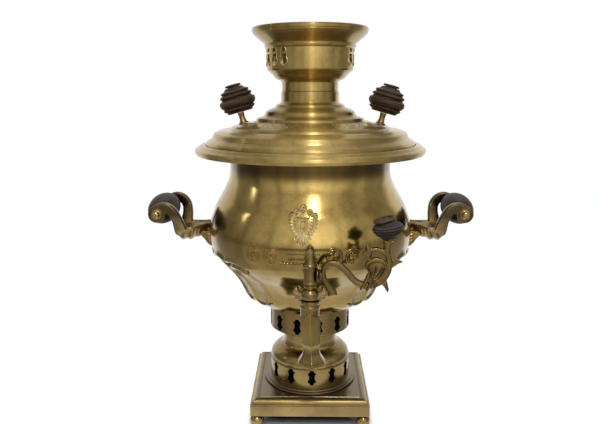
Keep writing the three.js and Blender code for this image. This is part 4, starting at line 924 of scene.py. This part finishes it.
def lid_knobs():
    stem = [(0, -2), (2.2, -2), (2.2, 0.25), (5.75, 0.25, 0.2), (5.75, 1.4, 0.5), (4.4, 2, 0.5), (3.5, 5, 2),
            (3.3, 8, 2), (4, 12.8, 0.3), (4, 12.95), (0, 12.95)]
    knob = raised(13.2, [
        (0, 0.4), (9, 0.6), (12.6, 0), (14.2, 0.3, 0.4), (14.8, 2, 0.6), (17.6, 3.8, 1), (18.4, 5.2, 0.5),
        (17, 6.4, 0.3), (19, 7.6, 0.8), (20.75, 10.8, 2.5), (20.4, 14.4, 2), (17.6, 16.2, 0.4),
        (16.8, 17.2, 0.4), (18.6, 18.8, 0.6), (18.2, 20.4, 0.6), (15.6, 21.6, 0.3), (15.2, 22.4, 0.3),
        (16.4, 23.4, 0.5), (15.8, 24.8, 0.6), (12.4, 25.8, 0.4), (11.4, 26.8, 0.6), (10.2, 28.4, 0.8),
        (7, 29), (0, 29),
    ])
    cap = raised(42.4, [(0, 0), (6.2, 0), (8.8, 0.3, 0.4), (9.2, 1.4, 0.5), (8.6, 2.5, 0.5), (4, 2.8),
                        (0, 2.8)])
    reach, seat, tilt, slope = 74.89, LID_Z + 24.24, 15.4, 0.243
    # The right knob stands further out, as in the photo
    for name, side, out in (("left", -1, 0.8), ("right", 1, 5)):
        place = at(side * (reach + out), AXIS_Y, seat - slope * out) @ turned(side * tilt, "Y")
        for part, outline, material, slot, node, sides in (
            ("knob_stem", stem, CAST, "dark_brass", "stem", SMALL),
            ("turned_knob", knob, WOOD, "wood", "knob", FINE),
            ("knob_button", cap, WOOD, "wood", "knob_cap", SMALL),
        ):
            turned_piece(f"{name}_{part}", outline, material, "lid", slot, f"lid_{name}_{node}",
                         sides=sides, place=place)


# Handles
def oval_bar(path, depth, per, square):
    """A bar along a path of (x, y, z, half width), wide in the XZ plane; square is 1 for an oval section,
    less for a boxier one"""
    line = catmull(path, per)
    rings = []
    for (x, y, z, half), (back, ahead) in zip(line, neighbours(line)):
        across = Vector((back[2] - ahead[2], 0, ahead[0] - back[0])).normalized()
        ring = []
        for c, s in ((math.cos(a), math.sin(a)) for a in turns(16)):
            wide = half * math.copysign(abs(c) ** square, c)
            ring.append((x + across.x * wide, y + depth / 2 * math.copysign(abs(s) ** square, s),
                         z + across.z * wide))
        rings.append(ring)
    return loft(rings)


def plate_mesh(points, start, end):
    """A flat shape in the XZ plane, thick in Y"""
    return loft([[(x, y, z) for x, z in points] for y in (start, end)])


def cylinder(radius, start, end, sides, x=0, z=0):
    """A disc or rod along Y"""
    rim = [(x + math.cos(a) * radius, z + math.sin(a) * radius) for a in turns(sides)]
    return plate_mesh(rim, start, end)


def yoke_mesh():
    """The scalloped leaf cup between the wall and the two arms: a hollow top and flutes that sweep outward"""
    section = [(1, 1), (0.8, 0.88), (0, 0.66), (-0.8, 0.88), (-1, 1), (-1.08, 0.9), (-1, 0.76), (-0.9, 0.54),
               (-0.7, 0.24), (-0.38, 0.05), (0, 0), (0.38, 0.05), (0.7, 0.24), (0.9, 0.54), (1, 0.76),
               (1.08, 0.9)]
    rings = []
    for along in (i / 48 for i in range(49)):
        half = between(8.6, 20.8, smooth_step(0.16, 0.72, along)) - 2.4 * smooth_step(0.88, 1, along)
        top = between(231, 226.6, smooth_step(0, 0.7, along)) - 2.6 * smooth_step(0.8, 1, along)
        bottom = between(213.6, 207.4, smooth_step(0.1, 0.6, along)) + 6 * smooth_step(0.85, 1, along)
        flute = abs(math.sin(math.pi * 3.5 * min(max((along - 0.24) / 0.76, 0), 1)))
        hollow = bell(along - 0.2, 0.12)
        ring = []
        for y, z in section:
            wide = half * y * (1 - (1 - smooth_step(0.55, 0.95, z)) * (0.2 * (1 - flute) + 0.38 * hollow))
            sag = 2 * (1 - flute) * (1 - z) * smooth_step(0.2, 0.3, along)
            ring.append((between(109, 150, along) + 8.5 * (1 - z) * smooth_step(0.1, 0.4, along), wide,
                         between(bottom + sag, top, z)))
        rings.append(ring)
    return loft(rings)


def bracket_mesh():
    parts = [yoke_mesh()]
    arm = [(149, 12, 216, 7), (149.6, 18, 222, 7.2), (149.6, 24, 229, 6.8), (150, 30, 236, 6.2),
           (151.6, 35, 242.6, 5.9), (155.2, 36.1, 248.4, 5.8), (160.6, 36.1, 251.9, 5.8),
           (166.4, 36.1, 251.6, 6.2), (170.4, 36.1, 248.8, 6.9), (171.4, 36.1, 245, 7.6)]
    for side in (-1, 1):
        parts.append(oval_bar([(x, side * y, z, half) for x, y, z, half in arm], 8, 6, 0.4))
        for radius, start, end in ((9.6, 32.3, 40.1), (6.2, 40, 40.7)):
            parts.append(cylinder(radius, side * start, side * end, 32, GRIP_X, GRIP_Z))
    leaf = [(128, 217), (110, 222), (108, 205), (112, 200.4), (117.2, 200.6), (121.4, 204.2), (124.4, 208.8),
            (128, 212.5)]
    parts.append(plate_mesh(leaf, -7.25, 7.25))
    for lift in (203.4, 206.8, 210.2):
        rib = raised(lift, [(108.4, 2.4), (108.2, 0), (120, 3.2), (120.4, 5)])
        parts.append(plate_mesh(rib, -8.2, 8.2))
    return merged(*parts)


def handles():
    vertices, faces = bracket_mesh()
    wood_line = catmull([(8.6, -31.5), (10.2, -30.8), (12.8, -26), (15.6, -15), (16.9, 0), (15.6, 15),
                         (12.8, 26), (10.2, 30.8), (8.6, 31.5)], 6)
    roller = [(2.9, -32), (7, -32), *wood_line, (7, 32), (2.9, 32)]
    acorn = [(0, 0), (5.6, 0, 0.2), (5.5, 1, 0.5), (4.3, 1.5, 0.3), (4.2, 2.6, 0.3), (4.7, 3.4, 0.6),
             (4.3, 5.6, 1.4), (2.4, 6.8, 1.2), (0, 7)]
    for name, side in (("left", -1), ("right", 1)):
        piece = new_piece(f"{name}_cast_bracket", [(side * x, y + AXIS_Y, z) for x, y, z in vertices],
                          [face[::side] for face in faces], HANDLE_BRASS)
        cast(piece, 0.7, 4)
        finish_piece(piece, "vessel", "dark_brass", f"{name}_bracket")
        turned_piece(f"{name}_turned_grip", roller, ROLLER_WOOD, f"{name}_grip", "wood", f"{name}_roller",
                     sides=FINE, place=at(side * GRIP_X, AXIS_Y, GRIP_Z) @ turned(90, "X"))
        for end, way in (("front", -1), ("back", 1)):
            place = at(side * GRIP_X, AXIS_Y + way * 40.2, GRIP_Z) @ turned(-90 * way, "X")
            turned_piece(f"{name}_{end}_acorn", acorn, CAST, "vessel", "brass", f"{name}_{end}_acorn_nut",
                         sides=SMALL, place=place)


# Tap
def spout_section(half, ridge, corner, back, height, gable=0):
    """Section of the spout: two cheeks meet at a ridge, a step and a bevel on each side, a narrower back"""
    lean = 0.03
    edge = half * 0.2
    right = [(half - edge, -corner - 0.8, 0.2), (half - edge + 0.3, -corner + 0.3, 0.2),
             (half, -corner + 1.6, 0.4), (half, back * 0.5, 1.2), (half * 0.5, back, 1.2)]
    outline = filleted([(0, -ridge - 0.2, 1), *right, *((-x, y, r) for x, y, r in reversed(right))])
    return [(x - lean * height, y, height - gable * abs(x)) for x, y in outline]


def tap_body():
    # Half width, ridge, corner, back, height from the shank's middle, and a slope for the two uppermost rings
    spout = loft([spout_section(*section) for section in (
        (9.4, 10.6, 5.9, 8.6, -3.4, 0.62), (9.9, 11.3, 6.4, 8.9, -4.3, 0.62), (9.8, 11.3, 6.2, 8.8, -13),
        (9.5, 11, 5.6, 8.5, -26), (9.3, 10.8, 5.2, 8.2, -36.6), (9.2, 10.7, 5.1, 8.1, -37.6),
        (8.7, 10.1, 4.7, 7.8, -38.4), (7.9, 9.1, 4.2, 7.2, -41.4), (7.7, 8.9, 4, 7, -43.2),
        (8.1, 9.4, 4.3, 7.2, -46.4), (9.5, 10.9, 5.2, 8, -50.4), (11.6, 13.1, 6.6, 8.8, -53.4),
        (12.4, 14.2, 7.2, 9.2, -54.9), (12.5, 14.4, 7.3, 9.2, -55.5), (13, 15.1, 7.7, 9.5, -55.8),
        (13.5, 15.7, 8, 9.8, -56.5), (13.1, 15.2, 7.8, 9.6, -57.3), (13, 15.1, 7.7, 9.5, -57.6),
        (13.5, 15.7, 8, 9.8, -58.2), (13.2, 15.4, 7.8, 9.6, -59), (12.6, 14.7, 7.4, 9.3, -59.3),
    )])
    barrel = lathe_mesh([
        (0, -12), (7, -12), (9.4, -8), (9.7, 0.2, 0.2), (10, 0.7, 0.4), (10.05, 2.2, 0.5), (9.5, 2.8, 0.3),
        (9.3, 3.4, 0.4), (9.3, 4.8, 0.4), (9.9, 5.5, 0.3), (10.2, 6.4, 0.6), (10, 7.7, 0.5), (9.3, 8.2),
        (0, 8.2),
    ], SMALL)
    shank = cylinder(6.8, 0, 59.9, SMALL)
    piece = new_piece("tap_casting", *merged(spout, barrel, shank), TAP_BRASS, ON_TAP)
    fuse(piece)
    cut(piece, [moved(lathe_mesh([(0, -70), (4.4, -70), (4.4, -8), (0, -8)], SMALL), ON_TAP)])
    finish_piece(piece, "vessel", "dark_brass", "tap_body")


def escutcheon():
    flutes, size, span = 18, 18, 3
    tilt = math.atan2(body_radius(SHANK_Z + span) - body_radius(SHANK_Z - span), 2 * span)
    rings = []
    for out, up, flute in (
        (0.9, -4, 0.04), (1, -1, 0.08), (1.04, 0.3, 0.11), (1.02, 1.5, 0.14), (0.94, 2.8, 0.16),
        (0.8, 3.9, 0.14), (0.64, 4.7, 0.08), (0.54, 5, 0), (0.45, 4.6, 0), (0.4, 4.4, 0),
    ):
        ring = []
        for a in turns(12 * flutes):
            hollow = flute * (1 - abs(math.sin(flutes * a / 2)))
            reach = size * (out - 1.2 * hollow)
            ring.append((reach * math.cos(a), reach * math.sin(a), up - 14 * hollow))
        rings.append(ring)
    place = at(0, AXIS_Y - body_radius(SHANK_Z), SHANK_Z) @ turned(90 + math.degrees(tilt), "X")
    finish_piece(new_piece("fluted_rose", *loft(rings), CAST, place), "vessel", "brass", "escutcheon")


KEY_FOOT = 8.45
FERRULE_Z = 33.65


def tap_key():
    spindle = raised(KEY_FOOT, [
        (0, 0), (7.6, 0), (9, 1.6, 1.2), (9.7, 4.6, 2.4), (9.2, 8, 2.4), (7.2, 10.6, 1.8), (5, 12, 0.6),
        (5, 13.2, 0.3), (6, 13.6, 0.3), (6.1, 14.6, 0.4), (5, 15.2, 0.3), (5, 16.2, 0.3), (6.4, 16.7, 0.4),
        (6.7, 17.8, 0.5), (6.2, 18.8, 0.3), (6.3, 19.6, 0.4), (6.2, 33, 0.6), (7, 34, 0.6), (7, 35.6, 0.8),
        (6.2, 37, 0.6), (4.9, 38.2, 0.5), (4.4, 42, 2), (4.4, 47.4, 1.5), (5.1, 49.9, 0.3), (5.15, 50.7, 0.3),
        (3, 52.6, 0.4), (1.9, 53.2, 0.3), (1.8, 54.7), (0, 55.4),
    ])
    turned_piece("key_spindle", spindle, TAP_BRASS, "key", "dark_brass", "tap_key", sides=SMALL, place=ON_TAP)
    plug = [(0, -11.7), (5, -11.7), (6.3, KEY_FOOT + 0.5), (0, KEY_FOOT + 0.5)]
    turned_piece("key_plug", plug, CAST, "key", "dark_brass", sides=SMALL, place=ON_TAP)
    vertices, faces = lathe_mesh([
        (0, -0.6), (6.3, -0.6), (7.1, 0.1, 0.3), (7.1, 0.9, 0.3), (6.3, 1.5, 0.4), (4.8, 1.6, 0.2),
        (4.7, 1.9), (5.2, 2.2), (5.5, 2.7), (5.2, 3.2), (4.4, 3.5), (4.3, 4.2), (0, 4.2),
    ], FINE)
    # Twelve small bumps round the ferrule's bead
    for i, (x, y, z) in enumerate(vertices):
        wave = 1 + 0.07 * math.cos(12 * math.atan2(y, x)) if 2 <= z <= 3.3 else 1
        vertices[i] = (x * wave, y * wave, z)
    place = ON_TAP @ at(6.6, 0, FERRULE_Z) @ turned(90, "Y")
    piece = weighted(new_piece("key_ferrule", vertices, faces, DARK_CAST, place))
    finish_piece(piece, "key", "dark_brass", "branch_ferrule")


# Scroll branch, in the XZ plane from the key's axis and the shank's height, as (x, z, half width)
SCROLL = [
    (23.2, 14.7, 3.2), (20.4, 18.3, 3.4), (16.6, 24.2, 3), (13.8, 30.1, 2.8), (12.9, 36.6, 2.7),
    (14.6, 42.2, 2.9), (18.7, 45.4, 3.1), (23.9, 45.6, 3.2), (27.9, 44.1, 3.3), (32, 40.9, 3.2),
    (36.8, 35.7, 3.3), (41.2, 30.5, 3.2), (45.6, 26.5, 3.3), (50.4, 23.9, 3.5), (55.7, 22.8, 3.6),
    (62, 24.2, 3.8), (68.2, 27.5, 3.9), (73, 32.7, 3.8), (76.1, 39.2, 3.5), (77, 46.4, 3.1), (76.2, 52.8, 3),
    (74.9, 59.2, 3.4), (75.1, 64.3, 4.2), (76, 68.4, 5.8),
]
CURL = [(25.8, 44.6, 2.4), (29.1, 48.4, 2.3), (30.4, 53, 2), (29.6, 57, 1.6), (27.2, 59.6, 0.8)]
ARM = [(76.6, 51.6, 2.4), (72.6, 56.6, 2.6), (67.4, 59.2, 2.5), (61.8, 59.5, 2.3), (57.6, 57.4, 2.4)]
LIP = [(54, 42, 1.1), (56, 46, 1.7), (60.2, 48.8, 2.2), (65.2, 49.8, 2.4), (70.6, 48.4, 2), (73.6, 44.6, 1.2)]
RIBS = [
    [(57.2, 35.2, 1.8), (55.4, 30.2, 1.9), (52.4, 24.4, 1.6), (49.2, 19.4, 0.9)],
    [(58.9, 31.4, 1.6), (59, 27, 1.8), (57.4, 22.4, 1.5), (55.4, 18.4, 0.8)],
    [(62.4, 28.6, 1.4), (63.7, 25.2, 1.5), (63.2, 20.6, 0.8)],
]
VEINS = [
    [(60.6, 29.4, 0.6), (62.4, 33.4, 0.7), (64, 38, 0.6), (64.6, 42.6, 0.4)],
    [(62.6, 29.2, 0.6), (66.2, 32.8, 0.7), (69, 37.2, 0.6), (70.4, 41.6, 0.4)],
]
LEAF = [(53.4, 42.2), (55.3, 46.4), (59.6, 49.6), (65.1, 50.9), (71.4, 49.6), (74.6, 44.4), (73.8, 39.2),
        (70.8, 33.4), (65.8, 28.4), (60.9, 27), (58.2, 31.4), (56.4, 37.3)]
LEAF_HEART = (65, 36.4)
# The leaf is hollowed in front: its rim stands forward and its back bulges
CUPPED = [(0.04, -0.4), (0.35, -0.03), (0.65, 1.154), (0.88, 3.3), (1, 2.64), (1, 0.66), (0.8, -1.56),
          (0.4, -2.6), (0.04, -2.6)]
SPIKES = [
    [(54.7, 66.6), (59, 62.6), (61.2, 58.6), (60.2, 53.6), (57.2, 47.8), (53.4, 52.4), (49.4, 55.6),
     (53, 58.8)],
    [(78.9, 51.6), (84.3, 49.7), (90.3, 47.4), (85.3, 45.2), (81.7, 42.5), (77.3, 39.6)],
    [(67.6, 26.5), (72.1, 22.5), (76.2, 15.8), (77.3, 19), (75.9, 25.3), (74.2, 30.8)],
    [(18.1, 20.3), (17.9, 11.6), (21.3, 14.4), (27, 13), (26.2, 17.2), (23.2, 19.6)],
]
PILLOW = [(0.03, 3.1), (0.5, 3.1), (1, 1.5), (1, -1.5), (0.5, -3.1), (0.03, -3.1)]


def branch():
    def bars(depth, front, *lines):
        return [oval_bar([(x, front, z, half) for x, z, half in line], depth, 5, 0.78) for line in lines]

    parts = bars(6.6, 0, SCROLL) + bars(5.4, 0, CURL) + bars(5.2, 0, ARM) + bars(5, -2, *RIBS)
    parts += bars(5.6, -1, LIP) + bars(3.4, -0.2, *VEINS)
    parts += [layered(spike, middle(spike), PILLOW) for spike in SPIKES]
    parts.append(layered(catmull(LEAF + LEAF[:1], 4)[:-1], LEAF_HEART, CUPPED))
    place = at(76.4, 0, 69.4) @ turned(-8, "Y")
    parts.append(moved(lathe_mesh([(0, -6), (2.4, -6), (2.4, 12), (0, 12)], 16), place))
    parts.append(loft([[(x, math.cos(a) * 3.2, FERRULE_Z + math.sin(a) * 3.2) for a in turns(16)]
                       for x in (8.4, 14)]))
    piece = new_piece("scroll_branch", *merged(*parts), DARK_CAST, ON_TAP)
    cast(piece, 0.38, 3)
    finish_piece(piece, "key", "dark_brass", "branch")

    knob = raised(1.2, [
        (0, 0), (5.9, 0), (6.7, 0.4, 0.4), (8, 2, 1), (11.2, 4.2, 0.8), (12.8, 5.6, 0.5), (11.8, 6.5, 0.3),
        (14, 7.3, 0.5), (14.4, 8.2, 0.4), (13, 9, 0.3), (15.2, 9.8, 0.5), (15.3, 10.6, 0.5),
        (13.4, 11.5, 0.3), (14.6, 12.3, 0.5), (13.4, 13.6, 0.6), (10, 14.6, 0.4), (9, 15.6, 0.4),
        (8.8, 16.9), (0, 16.9),
    ])
    cap = raised(18.8, [
        (0, -0.5), (7.2, -0.5), (8.2, 0.2), (10.3, 0.4, 0.4), (10.9, 1.3, 0.5), (10.5, 2.4, 0.6), (9, 3, 0.4),
        (8.2, 2.6, 0.6), (5, 2.4), (0, 2.5),
    ])
    spot = ON_TAP @ place
    turned_piece("key_grip", knob, GREY_WOOD, "key", "grey_wood", "key_knob", sides=FINE, place=spot)
    turned_piece("key_grip_cap", cap, TAN_WOOD, "key", "dark_brass", "key_knob_cap", sides=FINE,
                 place=spot @ turned(-7, "Y"))


def carried_nodes():
    """Better finish for the CAD nodes that stay in view"""
    for material, names in (
        (SOOT_AND_SHADE, ["grate"]), (IRON, ["left_rod", "right_rod"]), (LEATHER, ["tap_packing"]),
        (CAST, ["tap_nut", "left_handle_nut", "right_handle_nut", "lid_left_nut", "lid_right_nut"]),
    ):
        for name in names:
            materials = frame["nodes"][name].data.materials
            materials.clear()
            materials.append(material)


# Stage, in metres: white floor, world, lamps and sheets that only reflections see
LAMP_AIM = Vector((0, 0, 0.22))


def floor():
    """White where it is looked at. Round the plinth the glow fades, a painted grey ring in which the floor's
    real shadow shows, and under the plinth the floor is black, a painted shadow
    """
    half = 12
    mesh = bpy.data.meshes.new("floor")
    corners = [(-half, -half, 0), (half, -half, 0), (half, half, 0), (-half, half, 0)]
    mesh.from_pydata(corners, [], [(0, 1, 2, 3)])
    n = new_material("floor_white")
    spot = n.add("SeparateXYZ", {0: n.place()}).outputs
    ahead = n.math("ABSOLUTE", n.math("SUBTRACT", spot[1], AXIS_Y * MM))
    away = n.math("MAXIMUM", n.math("ABSOLUTE", spot[0]), ahead)
    # The glow fades out towards the plinth: a painted grey ring, where the matt floor's real shadow shows
    white = n.rise(away, 0.058, 0.084, 0, 1)
    # Matt colour, pale round the plinth and black under it: a painted shadow
    matte_with_painted_shadow = n.math("MULTIPLY", n.rise(away, 0.066, 0.12, 0.5, 0), n.rise(away, 0.04, 0.056, 0, 1))
    matte = n.add("BsdfDiffuse", {"Color": matte_with_painted_shadow})
    glow = n.add("Emission", {"Color": "ffffff", "Strength": n.math("MULTIPLY", n.seen(), white)})
    mesh.materials.append(n.surface(n.add("AddShader", {0: matte.outputs[0], 1: glow.outputs[0]})))
    add_object("floor", mesh)


def world():
    made = bpy.data.worlds.new("studio")
    n = Nodes(made)
    background = n.tree.nodes["Background"].inputs
    n.put(background["Color"], "ffffff")
    level = n.add("MapRange", {"Value": n.seen(), "To Min": 0.72, "To Max": 1})
    n.put(background["Strength"], level.outputs[0])
    bpy.context.scene.world = made


def face_along(piece, rotation):
    piece.rotation_mode = "QUATERNION"
    piece.rotation_quaternion = rotation


def lamp(name, azimuth, elevation, distance, width, height, power):
    """A rectangular softbox at an azimuth from the front, turned to the object"""
    data = bpy.data.lights.new(name, "AREA")
    data.shape, data.size, data.size_y, data.energy = "RECTANGLE", width, height, power
    piece = add_object(name, data)
    a, e = math.radians(azimuth), math.radians(elevation)
    away = Vector((math.sin(a) * math.cos(e), -math.cos(a) * math.cos(e), math.sin(e)))
    piece.location = LAMP_AIM + away * distance
    face_along(piece, away.to_track_quat("Z", "Y"))
    return piece


def toned_sheet(name, columns):
    """A sheet that only reflections see, made of columns of (x, y, z, level)"""
    tall = len(columns[0])
    points = [point for column in columns for point in column]
    faces = [[i * tall + j, (i + 1) * tall + j, (i + 1) * tall + j + 1, i * tall + j + 1]
             for i in range(len(columns) - 1) for j in range(tall - 1)]
    mesh = bpy.data.meshes.new(name)
    mesh.from_pydata([point[:3] for point in points], [], faces)
    tone = mesh.color_attributes.new("tone", "FLOAT_COLOR", "POINT")
    for item, (*_, level) in zip(tone.data, points):
        item.color = (level * 1.03, level, level * 0.95, 1)
    n = new_material(name + "_tone")
    mesh.materials.append(n.surface(
        n.add("Emission", {"Color": n.add("Attribute", attribute_name="tone").outputs["Color"]})))
    piece = add_object(name, mesh)
    piece.visible_camera = piece.visible_diffuse = piece.visible_shadow = piece.visible_transmission = False


def tone_at(tones, place):
    """Level at a place between stops of (place, level)"""
    return next(between(l0, l1, smooth_step(a0, a1, place))
                for (a0, l0), (a1, l1) in zip(tones, tones[1:]) if a0 <= place <= a1 + 1e-6)


def room(rows, tones, low_tones):
    """A studio shell in front, from floor to ceiling, with a level for each azimuth. A row has a radius, a
    height, a share of the level and how far it goes over to the low level"""
    columns = []
    for azimuth in range(tones[0][0], tones[-1][0] + 1, 2):
        a, level, low = math.radians(azimuth), tone_at(tones, azimuth), tone_at(low_tones, azimuth)
        columns.append([(radius * math.sin(a), -radius * math.cos(a), z, share * between(level, low, even))
                        for radius, z, share, even in rows])
    toned_sheet("room_shell", columns)


def ceiling(tones, plain_level, height):
    """A ceiling with a level for each distance from the middle line: a skylight runs front to back"""
    columns = []
    for i in range(81):
        x = between(tones[0][0], tones[-1][0], i / 80)
        columns.append([(x, y, height, between(plain_level, tone_at(tones, x), share))
                        for y, share in ((-2.9, 0), (-0.6, 0.2), (0.2, 1), (2.9, 1))])
    toned_sheet("ceiling", columns)


def stage():
    floor()
    world()
    lamp("window_front", 5.5, 46, 2.2, 0.32, 0.5, 8.2)
    lamp("tall_left", -84, 24, 2.3, 0.05, 0.36, 0.8)
    lamp("soft_key", -30, 48, 2.2, 1, 1, 12).visible_glossy = False
    tones = [(-124, 0.9), (-112, 0.26), (-82, 0.3), (-76, 0.16), (-70, 0.4), (-50, 0.6), (-44, 0.34),
             (-38, 0.8), (-22, 0.96), (-18, 0.6), (-12, 1.45), (-4, 1.2), (2, 1.9), (9, 1.95), (13, 1.35),
             (17, 1.8), (22, 1.4), (26, 1.6), (30, 1), (34, 0.85), (38, 1.3), (46, 0.9), (60, 0.54),
             (74, 0.66), (84, 0.36), (100, 0.36), (114, 0.32), (126, 0.9)]
    low_tones = [(-124, 0.72), (-80, 0.66), (-62, 1), (-46, 0.9), (-30, 0.72), (30, 0.72), (46, 0.5),
                 (62, 0.44), (80, 0.6), (126, 0.72)]
    rows = [(0.2, 0.002, 0.9, 0.6), (0.45, 0.002, 0.74, 0.6), (1.3, 0.002, 0.62, 0.5),
            (1.34, 0.08, 0.52, 0.3), (1.4, 0.18, 0.58, 0.2), (1.5, 0.32, 0.9, 0.1), (2.9, 0.62, 1.1, 0),
            (2.9, 1.6, 1.1, 0), (2.9, 2.2, 0.9, 0.2), (1.2, 2.25, 0.9, 0.3), (0.1, 2.25, 0.9, 0.6)]
    room(rows, tones, low_tones)
    ceiling([(-2.9, 0.72), (-0.75, 0.72), (-0.12, 2), (0.3, 2), (0.9, 0.72), (2.9, 0.72)], 0.72, 2.3)


def camera():
    """The photo's pinhole: its width and focal length in pixels, its sensor and distance in millimetres"""
    pixels, focal, sensor = 600, 598.6, 36
    distance, height = 690, 382.5
    pitch, yaw, roll = 11.67, 0.98, -0.15
    data = bpy.data.cameras.new("camera")
    data.sensor_width, data.lens = sensor, focal / pixels * sensor
    piece = add_object("camera", data)
    piece.location = (0, (AXIS_Y - distance) * MM, height * MM)
    face_along(piece, (turned(yaw, "Z") @ turned(90 - pitch, "X") @ turned(roll, "Z")).to_quaternion())
    bpy.context.scene.camera = piece


for build in (feet, plinth, base_flange, pedestal, air_collar, body_shell, front_relief, fire_tube, rim_ring,
              lid, lid_vine, crown, lid_knobs, handles, tap_body, escutcheon, tap_key, branch, carried_nodes,
              stage, camera):
    build()

bpy.context.scene.view_settings.view_transform = "Standard"
